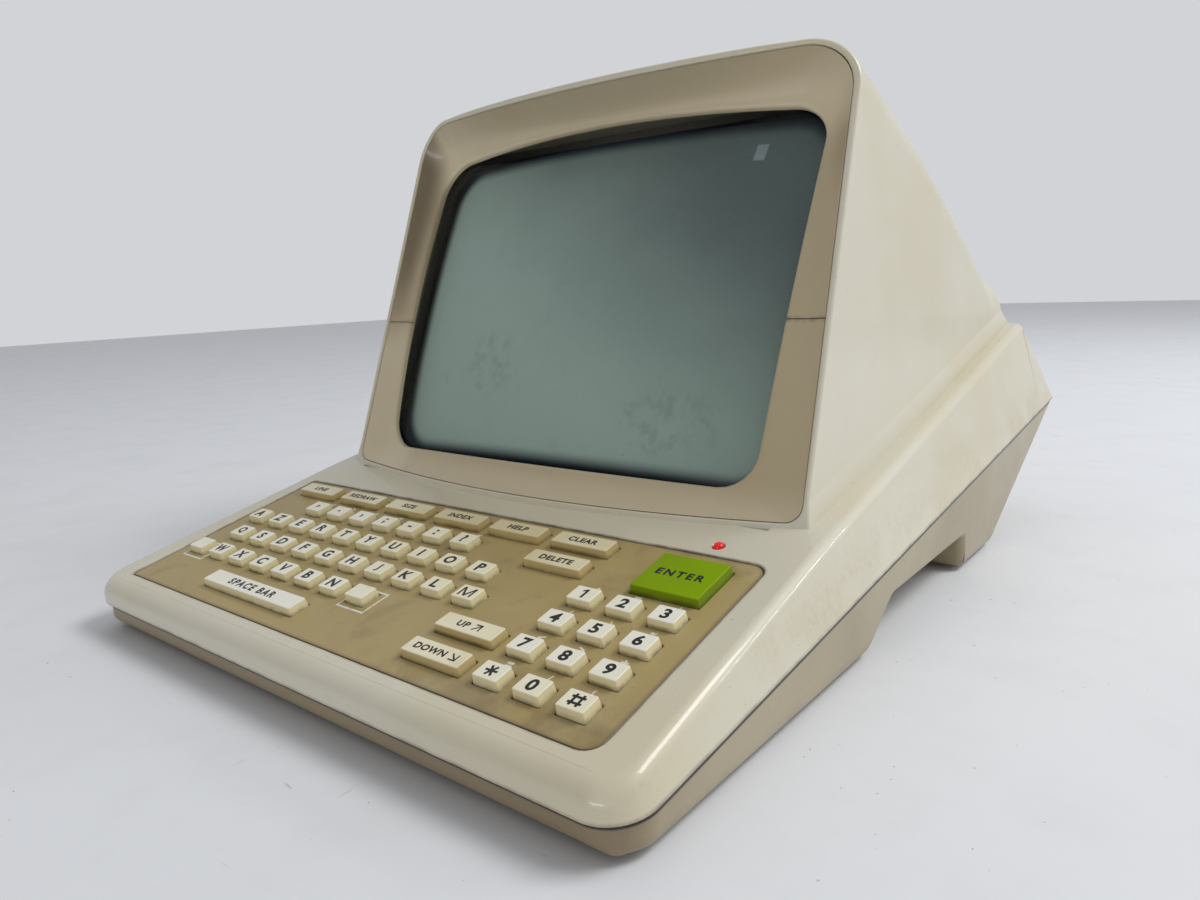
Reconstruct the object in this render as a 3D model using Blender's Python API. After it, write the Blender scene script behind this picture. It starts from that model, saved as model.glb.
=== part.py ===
"""Desk-top computer terminal: a wedge-shaped case with a hooded picture tube and a fixed keyboard.

Metres, +Z up, +Y to the back. The origin is on the table, under the middle of the case.
Distances called y below run back from the front edge of the case, and z is the height above the table.
"""

import math

import bmesh
import bpy
import numpy as np
from mathutils import Vector

# Case
BODY_WIDTH = 0.250
BODY_LENGTH = 0.3575
DECK_FRONT_HEIGHT = 0.0187
DECK_SLOPE = math.radians(13.5)
CREASE_SETBACK = 0.1016
SHOULDER_SLOPE = math.radians(12.0)
REAR_FACE_SLOPE = math.radians(58.5)
PARTING_FRONT_HEIGHT = 0.0107
PARTING_REAR_HEIGHT = 0.0537
SIDE_DRAFT_SHARE = 0.25
NOSE_RADIUS = 0.008
FRONT_CORNER_RADIUS = 0.012
RIDGE_RADIUS = 0.004
TIP_HEIGHT = 0.0008
WALL = 0.0026
NOSE_STEPS = 5
RIDGE_STEPS = 4

# Gaps, and how far a cutter runs past what it cuts
SEAT_GAP = 0.0003
OVERRUN = 0.010
FUSE_DEPTH = 0.0012

# Monitor housing, the part of the upper shell that holds the picture tube
RIM_SETBACK = 0.1101
RIM_FOOT_HEIGHT = 0.0442
RIM_TILT = math.radians(19.7)
RIM_HEIGHT = 0.1592
RIM_SIDE_MARGIN = 0.0149
RIM_HALF_WIDTH = BODY_WIDTH / 2 - RIM_SIDE_MARGIN
RIM_BOW_BOTTOM = 0.0108
RIM_BOW_TOP = 0.0163
RIM_RING_WIDTH = 0.0020
RIM_RING_DEPTH = 0.012
SHEET_ACROSS_COUNT = 16
SHEET_UP_COUNT = 2
HOUSING_START = 0.085
HOUSING_CREST_SETBACK = 0.1575
HOUSING_CREST_HEIGHT = 0.1941
HOUSING_TAIL_SETBACK = 0.336
HOUSING_TAIL_HEIGHT = 0.102
HOUSING_BULGE = 0.0070
HOUSING_RADIUS = 0.018
HOUSING_ROOT_DEPTH = 0.008
HOUSING_LEAN_SHARE = 0.0247
HOUSING_TAPER_SHARE = 0.0129
HOUSING_REAR_STEP = 0.0008
HOUSING_STATION_STEP = 0.025
HOUSING_RADIUS_STEPS = 6
FOOT_BAND_HEIGHT = 0.0069
FOOT_BAND_SPREAD = 0.0011
FOOT_BAND_HALF_WIDTH = RIM_HALF_WIDTH + FOOT_BAND_SPREAD
FOOT_BAND_LEDGE = 0.0062
FOOT_BAND_OVERLAP_SHARE = 0.2

# Ventilation slots in the slope behind the hood
VENT_COUNT = 14
VENT_PITCH = 0.0105
VENT_WIDTH = 0.003
VENT_SETBACK = 0.232
VENT_LENGTH = 0.075

# Lower shell
SHELL_GAP = 0.0005
LOWER_SIDE_STEP = 0.0009
LOWER_FRONT_STEP = 0.0035
LOWER_GROUND_CLEARANCE = 0.002
LOWER_FRONT_RISE = 0.003
BASE_END_SETBACK = 0.130
ARCH_START_SETBACK = 0.1476
ARCH_END_SETBACK = 0.2240
ARCH_HEIGHT = 0.015
FOOT_START_SETBACK = 0.2260
FOOT_END_SETBACK = 0.2674
LOWER_DRAFT_SHARE = 0.05
LOWER_EDGE_RADIUS = 0.003

# Keyboard plate
PLATE_SETBACK = 0.0087
PLATE_SIDE_MARGIN = 0.01465
PLATE_WIDTH = BODY_WIDTH - 2 * PLATE_SIDE_MARGIN
PLATE_DEPTH = 0.0814
PLATE_THICKNESS = 0.002
PLATE_RECESS = 0.0003
PLATE_RIGHT_RADIUS = 0.0052
PLATE_LEFT_RADIUS = 0.0016
PLATE_LEDGE = 0.0025
PLATE_SEAT_MARGIN = 0.0022
PLATE_SEAT_THICKNESS = 0.0023
PLATE_SKIRT_INSET = 0.0028
PLATE_SKIRT_WIDTH = 0.0010

# Keys
KEY_PITCH_SHARE = 0.06389
KEY_PITCH = KEY_PITCH_SHARE * PLATE_WIDTH
KEY_ROW_PITCH = 0.01252
KEY_WIDTH_SHARE = 0.03761
KEY_WIDTH = KEY_WIDTH_SHARE * PLATE_WIDTH
KEY_DEPTH = 0.0064
KEY_HEIGHT = 0.0027
KEY_DRAFT = 0.0003
KEY_EDGE = 0.0003
KEY_HOLE_GAP = 0.0003
KEY_TRAVEL = 0.0018
KEY_FLANGE = 0.0007
KEY_FLANGE_THICKNESS = 0.001
PLUNGER_SIZE = 0.003
WIDE_KEY_WIDTH_SHARE = 0.10104
WIDE_KEY_WIDTH = WIDE_KEY_WIDTH_SHARE * PLATE_WIDTH
WIDE_KEY_DEPTH = 0.0063
SPACE_BAR_WIDTH_SHARE = 0.23833
SPACE_BAR_WIDTH = SPACE_BAR_WIDTH_SHARE * PLATE_WIDTH
SEND_KEY_DEPTH = 0.0184
NUMBER_PITCH_SHARE = 0.06312
NUMBER_PITCH = NUMBER_PITCH_SHARE * PLATE_WIDTH
LETTER_ROW_FRONT = 0.0235
NUMBER_ROW_FRONT = 0.0106
NUMBER_COLUMN_START_SHARE = 0.31717
NUMBER_COLUMN_START = NUMBER_COLUMN_START_SHARE * PLATE_WIDTH
SPACE_BAR_CENTRE_X_SHARE = -0.19166
SPACE_BAR_CENTRE_X = SPACE_BAR_CENTRE_X_SHARE * PLATE_WIDTH
SPACE_BAR_ROW = 0.0103
TOP_ROW = 0.0731
TOP_ROW_START_SHARE = -0.41504
TOP_ROW_START = TOP_ROW_START_SHARE * PLATE_WIDTH
TOP_ROW_PITCH_SHARE = 0.12823
TOP_ROW_PITCH = TOP_ROW_PITCH_SHARE * PLATE_WIDTH
PAD_KEYS_X_SHARE = 0.22202
PAD_KEYS_X = PAD_KEYS_X_SHARE * PLATE_WIDTH
CORRECTION_ROW = 0.0607
SEND_KEY_X_SHARE = 0.41142
SEND_KEY_X = SEND_KEY_X_SHARE * PLATE_WIDTH
SEND_KEY_ROW = 0.0660
LED_X_SHARE = 0.41006
LED_X = LED_X_SHARE * PLATE_WIDTH
LED_ROW = 0.0871
# Each letter row: its node, how many keys it has, and its first key's place as a share of the plate's width
LETTER_ROWS = (
    ("lower_letter_row", 8, -0.45129),
    ("home_letter_row", 10, -0.41640),
    ("upper_letter_row", 10, -0.44767),
    ("punctuation_row", 7, -0.34979),
)
NUMBER_KEYS = (
    ("key_star", "key_0", "key_hash"),
    ("key_7", "key_8", "key_9"),
    ("key_4", "key_5", "key_6"),
    ("key_1", "key_2", "key_3"),
)
TOP_ROW_KEYS = ("connect_key", "repeat_key", "zoom_key", "index_key", "guide_key", "cancel_key")

# Keyboard electronics
BOARD_THICKNESS = 0.0016
KEYBOARD_BOARD_DROP = 0.0076
KEYBOARD_BOARD_MARGIN = 0.0005
CONTACT_SHEET_THICKNESS = 0.0006
CONTACT_SHEET_MARGIN = 0.006
LED_RADIUS = 0.0017
LED_RISE = 0.0010
LED_LENGTH = 0.0060
LED_COLLAR = 0.0007

# Bezel and its window
BEZEL_RECESS = 0.0010
BEZEL_THICKNESS = 0.0025
BEZEL_FLOOR = 0.0020
BEZEL_FLOOR_DROP = 0.0054
BEZEL_TOP_RADIUS = 0.0175
BEZEL_BOTTOM_RADIUS = 0.0050
BEZEL_SEAM_LOW = 0.0655
WINDOW_LOW = 0.0102
WINDOW_HIGH = 0.1398
WINDOW_MARGIN_BOTTOM = 0.0202
WINDOW_HALF_BOTTOM = RIM_HALF_WIDTH - WINDOW_MARGIN_BOTTOM
WINDOW_MARGIN_TOP = 0.0170
WINDOW_HALF_TOP = RIM_HALF_WIDTH - WINDOW_MARGIN_TOP
WINDOW_SIDE_BULGE = 0.0009
WINDOW_CROWN_TOP = 0.0043
WINDOW_CROWN_BOTTOM = 0.0012
WINDOW_RADIUS = 0.0128
WINDOW_LEAN = math.radians(2.6)
WINDOW_CURVE_RADIUS = 0.600
WINDOW_CENTRE = 0.0765
WINDOW_LIP_RISE = 0.006
BEZEL_FRONT_SHARES = ((0.0, 0.0), (0.30, 0.50), (0.62, 0.93), (0.86, 1.03), (1.0, 1.0))
BEZEL_BACK_SHARES = ((1.0, 1.0), (0.62, 0.93), (0.0, 0.0))
EDGE_STEPS = 8
CORNER_STEPS = 4

# Picture tube, on an axis square to the window
FACE_GAP = 0.001
FACE_SIDE_MARGIN = 0.0116
FACE_HALF_WIDTH = RIM_HALF_WIDTH - FACE_SIDE_MARGIN
FACE_HALF_HEIGHT = 0.0700
FACE_CORNER_RADIUS = 0.018
PANEL_DEPTH = 0.022
TUBE_ROOM = BODY_LENGTH - RIM_SETBACK
FUNNEL_DEPTH_SHARE = 0.30315
FUNNEL_DEPTH = FUNNEL_DEPTH_SHARE * TUBE_ROOM
NECK_RADIUS = 0.0145
NECK_LENGTH_SHARE = 0.28294
NECK_LENGTH = NECK_LENGTH_SHARE * TUBE_ROOM
GLASS_WALL = 0.0045
NECK_WALL = 0.0020
FUNNEL_SHARES = ((0.35, 0.76), (0.70, 0.42))
FACE_RING_SHARES = (0.3, 0.6, 0.85)
BAND_THICKNESS = 0.0012
BAND_WIDTH = 0.012
BAND_SETBACK = 0.0145
LUG_HEIGHT = 0.014
LUG_THICKNESS = 0.0016
LUG_ROW = 0.050
LUG_SHELF_THICKNESS = 0.006
LUG_SHELF_HEIGHT = 0.016
YOKE_LENGTH = 0.034
YOKE_RADIUS_FRONT = 0.033
YOKE_RADIUS_BACK = 0.023
YOKE_FLARE = 0.010
YOKE_BELL = 0.0145
PIN_BASE_LENGTH = 0.008
NECK_BOARD_WIDTH = 0.056
NECK_BOARD_HEIGHT = 0.046
NECK_BOARD_RISE = 0.006

# Boards and transformers on the floor of the lower shell
MAIN_BOARD_MARGINS = 0.054
MAIN_BOARD_WIDTH = BODY_WIDTH - MAIN_BOARD_MARGINS
MAIN_BOARD_DEPTH = 0.140
MAIN_BOARD_SETBACK = 0.180
MAIN_BOARD_HEIGHT = 0.0255
POST_RADIUS = 0.0035
POST_INSET = 0.008
FLYBACK_RADIUS = 0.015
FLYBACK_HEIGHT = 0.030
FLYBACK_CORE_WIDTH = 0.012
FLYBACK_X_SHARE = 0.3367
FLYBACK_X = FLYBACK_X_SHARE * MAIN_BOARD_WIDTH
FLYBACK_REACH = 0.048
FLYBACK_SETBACK = MAIN_BOARD_SETBACK + FLYBACK_REACH
TRANSFORMER_WIDTH = 0.046
TRANSFORMER_DEPTH = 0.034
TRANSFORMER_HEIGHT = 0.036
TRANSFORMER_COIL_OVERHANG = 0.006
TRANSFORMER_X_SHARE = -0.3367
TRANSFORMER_X = TRANSFORMER_X_SHARE * MAIN_BOARD_WIDTH
HEAT_SINK_WIDTH = 0.050
HEAT_SINK_HEIGHT = 0.016
HEAT_SINK_DEPTH = 0.012
HEAT_SINK_FINS = 6
HEAT_SINK_FIN = 0.0016
HEAT_SINK_REACH = 0.056
HEAT_SINK_SETBACK = MAIN_BOARD_SETBACK + HEAT_SINK_REACH
MODEM_WIDTH = 0.034
MODEM_DEPTH = 0.028
MODEM_HEIGHT = 0.010
MODEM_X_SHARE = -0.3061
MODEM_X = MODEM_X_SHARE * MAIN_BOARD_WIDTH
MODEM_REACH = 0.030
MODEM_SETBACK = MAIN_BOARD_SETBACK - MODEM_REACH
PROCESSOR_WIDTH = 0.052
PROCESSOR_DEPTH = 0.015
PROCESSOR_HEIGHT = 0.004
PROCESSOR_X_SHARE = 0.2296
PROCESSOR_X = PROCESSOR_X_SHARE * MAIN_BOARD_WIDTH
BUZZER_RADIUS = 0.011
BUZZER_HEIGHT = 0.007
BUZZER_X_SHARE = 0.3571
BUZZER_X = BUZZER_X_SHARE * MAIN_BOARD_WIDTH
BUZZER_REACH = 0.055
BUZZER_SETBACK = MAIN_BOARD_SETBACK - BUZZER_REACH

# Controls and inlets on the rear face
REAR_ROW_SHARE = 0.5
POWER_X_SHARE = -0.368
POWER_X = POWER_X_SHARE * BODY_WIDTH
POWER_WIDTH = 0.016
POWER_HEIGHT = 0.010
POWER_RISE = 0.0045
POWER_TRAVEL = 0.003
POWER_FLANGE = 0.0012
SWITCH_WIDTH = 0.022
SWITCH_HEIGHT = 0.014
SWITCH_DEPTH = 0.012
KNOB_X_SHARE = -0.208
KNOB_X = KNOB_X_SHARE * BODY_WIDTH
KNOB_RADIUS = 0.0075
KNOB_RISE = 0.0055
KNOB_SHAFT_RADIUS = 0.003
KNOB_RIB_COUNT = 18
KNOB_RIB_SHARE = 0.93
DIAL_BODY_RADIUS = 0.008
DIAL_BODY_DEPTH = 0.007
SOCKET_X = 0.0
SOCKET_RADIUS = 0.0078
SOCKET_FLANGE = 0.0016
SOCKET_RECESS = 0.003
SOCKET_LENGTH = 0.011
MAINS_GLAND_X_SHARE = 0.368
MAINS_GLAND_X = MAINS_GLAND_X_SHARE * BODY_WIDTH
PHONE_GLAND_X_SHARE = 0.232
PHONE_GLAND_X = PHONE_GLAND_X_SHARE * BODY_WIDTH
GLAND_BORE = 0.002
GLAND_NECK = 0.0048
GLAND_FLANGE = 0.0070
GLAND_RISE = 0.004

# Rubber feet and case screws
PAD_RADIUS = 0.0075
PAD_X_SHARE = 0.40
PAD_X = PAD_X_SHARE * BODY_WIDTH
PAD_FRONT_SETBACK = 0.022
PAD_REAR_SETBACK = 0.246
SCREW_RADIUS = 0.0015
SCREW_HEAD_RADIUS = 0.003
SCREW_HEAD_HEIGHT = 0.002
SCREW_GRIP = 0.009
SCREW_POINT = 0.001
BOSS_RADIUS = 0.0042
SCREW_X_SHARE = 0.44
SCREW_X = SCREW_X_SHARE * BODY_WIDTH
SCREW_FRONT_SETBACK = 0.108
SCREW_REAR_SETBACK = 0.300
ROUND_STEPS = 20
CORNER_SIGNS = ((-1, -1), (1, -1), (1, 1), (-1, 1))
SMOOTH = math.radians(35)


def clear_scene():
    for obj in list(bpy.data.objects):
        bpy.data.objects.remove(obj, do_unlink=True)


def finish(name, colour, roughness, metallic=0.0):
    """A Principled material of one colour, one roughness and one metallic value."""
    material = bpy.data.materials.new(name)
    material.use_nodes = True
    shader = material.node_tree.nodes["Principled BSDF"]
    shader.inputs["Base Color"].default_value = (*colour, 1.0)
    shader.inputs["Roughness"].default_value = roughness
    shader.inputs["Metallic"].default_value = metallic
    return material


def frame(name, location, rotation, parent=None):
    """An empty that carries pieces built in its own axes."""
    empty = bpy.data.objects.new(name, None)
    empty.location = location
    empty.rotation_euler = rotation
    empty.parent = parent
    bpy.context.scene.collection.objects.link(empty)
    return empty


def piece(name, builder, material, parent, location=(0, 0, 0), smooth=None):
    """Turns a bmesh into an object with its material, placed under its parent."""
    bmesh.ops.recalc_face_normals(builder, faces=builder.faces)
    mesh = bpy.data.meshes.new(name)
    builder.to_mesh(mesh)
    builder.free()
    if smooth:
        mesh.shade_smooth()
        mesh.set_sharp_from_angle(angle=smooth)
    if material:
        mesh.materials.append(material)
    obj = bpy.data.objects.new(name, mesh)
    obj.location = location
    obj.parent = parent
    bpy.context.scene.collection.objects.link(obj)
    return obj


def cutter(name, builder, parent, location=(0, 0, 0)):
    """A shape that only cuts or joins: it is drawn as wire and left out of the model."""
    obj = piece(name, builder, None, parent, location)
    obj.hide_render = True
    obj.display_type = "WIRE"
    return obj


def combine(target, tool, operation):
    modifier = target.modifiers.new(f"{operation.lower()}_{tool.name}", "BOOLEAN")
    modifier.operation = operation
    modifier.object = tool
    modifier.solver = "EXACT"


def cut(target, tool):
    combine(target, tool, "DIFFERENCE")


def join(target, tool):
    combine(target, tool, "UNION")


def add_loft(builder, rings, first="flat", last="flat"):
    """Skins a list of rings. An end is closed flat, or by a fan to a given point, or left for the caller."""
    loops = [[builder.verts.new(Vector(point)) for point in ring] for ring in rings]
    count = len(loops[0])
    for low, high in zip(loops, loops[1:]):
        for i in range(count):
            j = (i + 1) % count
            builder.faces.new((low[i], low[j], high[j], high[i]))
    for loop, end in ((loops[0], first), (loops[-1], last)):
        if end == "flat":
            builder.faces.new(loop)
        elif end != "open":
            centre = builder.verts.new(Vector(end))
            for i in range(count):
                builder.faces.new((loop[i], loop[(i + 1) % count], centre))
    return loops


def loft(rings, first="flat", last="flat"):
    builder = bmesh.new()
    add_loft(builder, rings, first, last)
    return builder


def closed_loft(rings):
    """Skins rings round and back to the first one, for a frame with a hole through it."""
    builder = bmesh.new()
    loops = add_loft(builder, rings, "open", "open")
    count = len(loops[0])
    for i in range(count):
        j = (i + 1) % count
        builder.faces.new((loops[-1][i], loops[-1][j], loops[0][j], loops[0][i]))
    return builder


def box_rings(low, high):
    corners = ((low[0], low[1]), (high[0], low[1]), (high[0], high[1]), (low[0], high[1]))
    return [[(x, y, z) for x, y in corners] for z in (low[2], high[2])]


def block(low, high):
    return loft(box_rings(low, high))


def blocks(corner_pairs):
    """Several boxes in one mesh that don't touch each other, for one cutter."""
    builder = bmesh.new()
    for low, high in corner_pairs:
        add_loft(builder, box_rings(low, high))
    return builder


def circle(radius, z, x=0.0, y=0.0, count=ROUND_STEPS):
    angles = np.arange(count) * math.tau / count
    return [(x + radius * math.cos(a), y + radius * math.sin(a), z) for a in angles]


def turned(profile, x=0.0, y=0.0, count=ROUND_STEPS):
    """A solid turned about its own z axis from (radius, height) pairs."""
    return loft([circle(radius, z, x, y, count) for radius, z in profile])


def turned_ring(profile):
    """A ring turned about its own z axis from a closed run of (radius, height) pairs."""
    return closed_loft([circle(radius, z) for radius, z in profile])


def deck_height(y):
    return DECK_FRONT_HEIGHT + y * math.tan(DECK_SLOPE)


def shoulder_height(y):
    return deck_height(CREASE_SETBACK) + (y - CREASE_SETBACK) * math.tan(SHOULDER_SLOPE)


def parting_height(y):
    rise = PARTING_REAR_HEIGHT - PARTING_FRONT_HEIGHT
    return PARTING_FRONT_HEIGHT + rise * y / BODY_LENGTH


def rear_face_height(y):
    return PARTING_REAR_HEIGHT + TIP_HEIGHT + (BODY_LENGTH - y) * math.tan(REAR_FACE_SLOPE)


def nose_centre():
    """Centre of the arc that rounds the front edge into the deck, as (y, z)."""
    touch = NOSE_RADIUS * (1 - math.sin(DECK_SLOPE))
    return NOSE_RADIUS, deck_height(touch) - NOSE_RADIUS * math.cos(DECK_SLOPE)


def case_top(y, inset):
    """Height of the case at y, lowered square to each surface by the inset."""
    centre_y, centre_z = nose_centre()
    radius = NOSE_RADIUS - inset
    if y < centre_y - radius * math.sin(DECK_SLOPE):
        return centre_z + math.sqrt(max(radius**2 - (centre_y - y) ** 2, 0))
    return min(
        deck_height(y) - inset / math.cos(DECK_SLOPE),
        shoulder_height(y) - inset / math.cos(SHOULDER_SLOPE),
        rear_face_height(y) - inset / math.cos(REAR_FACE_SLOPE),
    )


def corner_loss(y, radius, start):
    """How far a plan corner of this radius, starting at start, draws the side in at y."""
    reach = start + radius - y
    if reach <= 0:
        return 0.0
    return radius - math.sqrt(max(radius**2 - reach**2, 0))


def case_half_width(y, z, inset):
    loss = corner_loss(y, FRONT_CORNER_RADIUS - inset, inset)
    return BODY_WIDTH / 2 - inset - loss - SIDE_DRAFT_SHARE * (z - parting_height(y))


def rounded_section(y, bottom, top, half_width, radius, steps):
    """A section across the case: straight sides, and an arc into the top on each side."""
    radius = min(radius, (top - bottom) / 2)
    centre = half_width(y, top - radius) - radius
    right = [(half_width(y, bottom), bottom)]
    for i in range(steps + 1):
        angle = i * math.pi / 2 / steps
        right.append((centre + radius * math.cos(angle), top - radius + radius * math.sin(angle)))
    section = right + [(-x, z) for x, z in reversed(right)]
    return [(x, y, z) for x, z in section]


def rear_top_setback(inset):
    """Where the shoulder, lowered by the inset, meets the rear face."""
    base = shoulder_height(0) - inset / math.cos(SHOULDER_SLOPE)
    rear = rear_face_height(0) - inset / math.cos(REAR_FACE_SLOPE)
    return (rear - base) / (math.tan(SHOULDER_SLOPE) + math.tan(REAR_FACE_SLOPE))


def case_stations(inset):
    """The places along the case where its outline turns, nose first."""
    centre_y, _ = nose_centre()
    radius = NOSE_RADIUS - inset
    turn = math.pi / 2 - DECK_SLOPE
    nose = [centre_y - radius * math.cos(i * turn / NOSE_STEPS) for i in range(NOSE_STEPS + 1)]
    past_corner = (centre_y + FRONT_CORNER_RADIUS) / 2
    end = BODY_LENGTH - inset / math.sin(REAR_FACE_SLOPE)
    return nose + [past_corner, FRONT_CORNER_RADIUS, CREASE_SETBACK, rear_top_setback(inset), end]


def case_solid(inset, drop):
    """The wedge of the case above the parting line, or its hollow when given an inset and a drop."""
    rings = []
    for y in case_stations(inset):
        bottom = parting_height(y) - drop
        top = case_top(y, inset)
        half = lambda at, z: case_half_width(at, z, inset)
        rings.append(rounded_section(y, bottom, top, half, RIDGE_RADIUS, RIDGE_STEPS))
    return loft(rings)


def housing_top(y, inset):
    """Crest of the housing: a chord from hood to tail, swelled by a parabola, stopped by the rear face."""
    share = (y - HOUSING_CREST_SETBACK) / (HOUSING_TAIL_SETBACK - HOUSING_CREST_SETBACK)
    drop = HOUSING_CREST_HEIGHT - HOUSING_TAIL_HEIGHT
    crest = HOUSING_CREST_HEIGHT - drop * share + 4 * HOUSING_BULGE * share * (1 - share)
    slope = math.atan2(drop, HOUSING_TAIL_SETBACK - HOUSING_CREST_SETBACK)
    rear = rear_face_height(y) - (HOUSING_REAR_STEP + inset) / math.cos(REAR_FACE_SLOPE)
    return min(HOUSING_CREST_HEIGHT - inset, crest - inset / math.cos(slope), rear)


def housing_half_width(y, z, inset):
    lean = HOUSING_LEAN_SHARE * (z - RIM_FOOT_HEIGHT)
    taper = HOUSING_TAPER_SHARE * (y - RIM_SETBACK)
    return RIM_HALF_WIDTH - inset - lean - taper


def housing_tail(inset):
    """Where the housing's crest runs into the rear face, found by halving."""
    low, high = HOUSING_CREST_SETBACK, BODY_LENGTH
    for _ in range(40):
        middle = (low + high) / 2
        gap = rear_face_height(middle) - (HOUSING_REAR_STEP + inset) / math.cos(REAR_FACE_SLOPE)
        if gap > housing_top(middle, inset):
            low = middle
        else:
            high = middle
    return low


def housing_solid(inset, root):
    """The monitor housing down to a root height given for each y, or its hollow when given an inset."""
    tail = housing_tail(inset)
    end = BODY_LENGTH - (HOUSING_REAR_STEP + inset) / math.sin(REAR_FACE_SLOPE) - 2 * TIP_HEIGHT
    steps = round((tail - HOUSING_CREST_SETBACK) / HOUSING_STATION_STEP)
    crest = [HOUSING_CREST_SETBACK + i * (tail - HOUSING_CREST_SETBACK) / steps for i in range(steps + 1)]
    rings = []
    for y in [HOUSING_START] + crest + [end]:
        half = lambda at, z: housing_half_width(at, z, inset)
        radius = HOUSING_RADIUS - inset
        top = max(housing_top(y, inset), root(y) + TIP_HEIGHT)
        rings.append(rounded_section(y, root(y), top, half, radius, HOUSING_RADIUS_STEPS))
    return loft(rings)


def housing_edge(y, z):
    """Half width of the housing's outside at a height, in its rounded corners too."""
    centre_z = housing_top(y, 0) - HOUSING_RADIUS
    if z <= centre_z:
        return housing_half_width(y, z, 0)
    centre_x = housing_half_width(y, centre_z, 0) - HOUSING_RADIUS
    return centre_x + math.sqrt(max(HOUSING_RADIUS**2 - (z - centre_z) ** 2, 0))


def foot_bands():
    """The sloped band on each side where the housing stands on the shoulder of the case."""
    begin, end = RIM_SETBACK - FOOT_BAND_HEIGHT, rear_top_setback(0) - HOUSING_REAR_STEP
    full_end = end - FOOT_BAND_HEIGHT / 2
    steps = round((full_end - begin) / HOUSING_STATION_STEP)
    stations = [begin + i * (full_end - begin) / steps for i in range(steps + 1)] + [end]
    builder = bmesh.new()
    for side in (-1, 1):
        rings = []
        for y in stations:
            ledge = shoulder_height(y)
            rear = rear_face_height(y) - HOUSING_REAR_STEP / math.cos(REAR_FACE_SLOPE)
            top = min(ledge + FOOT_BAND_HEIGHT, rear)
            foot = min(FOOT_BAND_HALF_WIDTH, case_half_width(y, ledge, 0) - FOOT_BAND_LEDGE)
            head = housing_edge(y, top)
            bottom = ledge - HOUSING_ROOT_DEPTH / 2
            low, rise = min(ledge, top), FOOT_BAND_OVERLAP_SHARE * max(top - ledge, 0)
            tip = head - FOOT_BAND_OVERLAP_SHARE * (foot - head)
            inner = tip - WALL / 2
            section = ((inner, bottom), (foot, bottom), (foot, low), (tip, top + rise), (inner, top + rise))
            rings.append([(side * x, y, z) for x, z in section])
        add_loft(builder, rings)
    return builder


def housing_root(y):
    buried = min(case_top(y, 0), housing_top(y, 0)) - HOUSING_ROOT_DEPTH
    return max(buried, parting_height(y) + TIP_HEIGHT / 2)


def hollow_root(y):
    return parting_height(y) - OVERRUN


def rim_bow(t):
    return RIM_BOW_BOTTOM + (RIM_BOW_TOP - RIM_BOW_BOTTOM) * t / RIM_HEIGHT


def rim_surface(x, t):
    """How far the rim stands out of its own flat plane: a parabola across, deeper at the hood."""
    return rim_bow(t) * (1 - (x / RIM_HALF_WIDTH) ** 2)


def sheet_to(surface, far, half_width, low, high):
    """A block in the screen frame, between a curved sheet and the flat far side."""
    columns, rows = SHEET_ACROSS_COUNT, SHEET_UP_COUNT
    xs = [half_width * (2 * i / columns - 1) for i in range(columns + 1)]
    ts = [low + (high - low) * j / rows for j in range(rows + 1)]
    builder = bmesh.new()
    near_grid = [[builder.verts.new((x, t, surface(x, t))) for x in xs] for t in ts]
    far_grid = [[builder.verts.new((x, t, far)) for x in xs] for t in ts]
    for grid in (near_grid, far_grid):
        for j in range(rows):
            for i in range(columns):
                builder.faces.new((grid[j][i], grid[j][i + 1], grid[j + 1][i + 1], grid[j + 1][i]))
    border = [(0, i) for i in range(columns)] + [(j, columns) for j in range(rows)]
    border += [(rows, columns - i) for i in range(columns)] + [(rows - j, 0) for j in range(rows)]
    for (a, b), (c, d) in zip(border, border[1:] + border[:1]):
        builder.faces.new((near_grid[a][b], near_grid[c][d], far_grid[c][d], far_grid[a][b]))
    return builder


def screen_outline(half_low, half_high, low, high, radius_low, radius_high, sag=0.0, crown=0.0, bulge=0.0):
    """A rounded four-sided outline in the rim's plane, as (x, t) points, with bowed edges."""

    def corner(centre_x, centre_t, radius, start):
        angles = [start + i * math.pi / 2 / CORNER_STEPS for i in range(CORNER_STEPS + 1)]
        return [(centre_x + radius * math.cos(a), centre_t + radius * math.sin(a)) for a in angles]

    def edge(begin, finish_at):
        shares = [i / EDGE_STEPS for i in range(1, EDGE_STEPS)]
        return [tuple(np.add(np.multiply(begin, 1 - s), np.multiply(finish_at, s))) for s in shares]

    corners = [
        corner(half_low - radius_low, low + radius_low, radius_low, -math.pi / 2),
        corner(half_high - radius_high, high - radius_high, radius_high, 0),
        corner(-half_high + radius_high, high - radius_high, radius_high, math.pi / 2),
        corner(-half_low + radius_low, low + radius_low, radius_low, math.pi),
    ]
    points = []
    for this, following in zip(corners, corners[1:] + corners[:1]):
        points += this + edge(this[-1], following[0])
    bowed = []
    for x, t in points:
        up = (t - low) / (high - low)
        across = 1 - (x / max(half_low, half_high)) ** 2
        stretch = 1 + 4 * bulge * up * (1 - up) / half_low
        bowed.append((x * stretch, t + across * (crown * up - sag * (1 - up))))
    return bowed


def bezel_outline(gap):
    """The opening in the rim, drawn in by a gap."""
    lean = HOUSING_LEAN_SHARE * math.cos(RIM_TILT) + HOUSING_TAPER_SHARE * math.sin(RIM_TILT)
    high = RIM_HEIGHT - RIM_RING_WIDTH
    half_low = RIM_HALF_WIDTH - RIM_RING_WIDTH
    half_high = half_low - lean * high
    return screen_outline(
        half_low - gap, half_high - gap, BEZEL_FLOOR + gap, high - gap,
        BEZEL_BOTTOM_RADIUS, BEZEL_TOP_RADIUS, BEZEL_FLOOR_DROP, -RIM_BOW_TOP * math.tan(RIM_TILT),
    )


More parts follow.
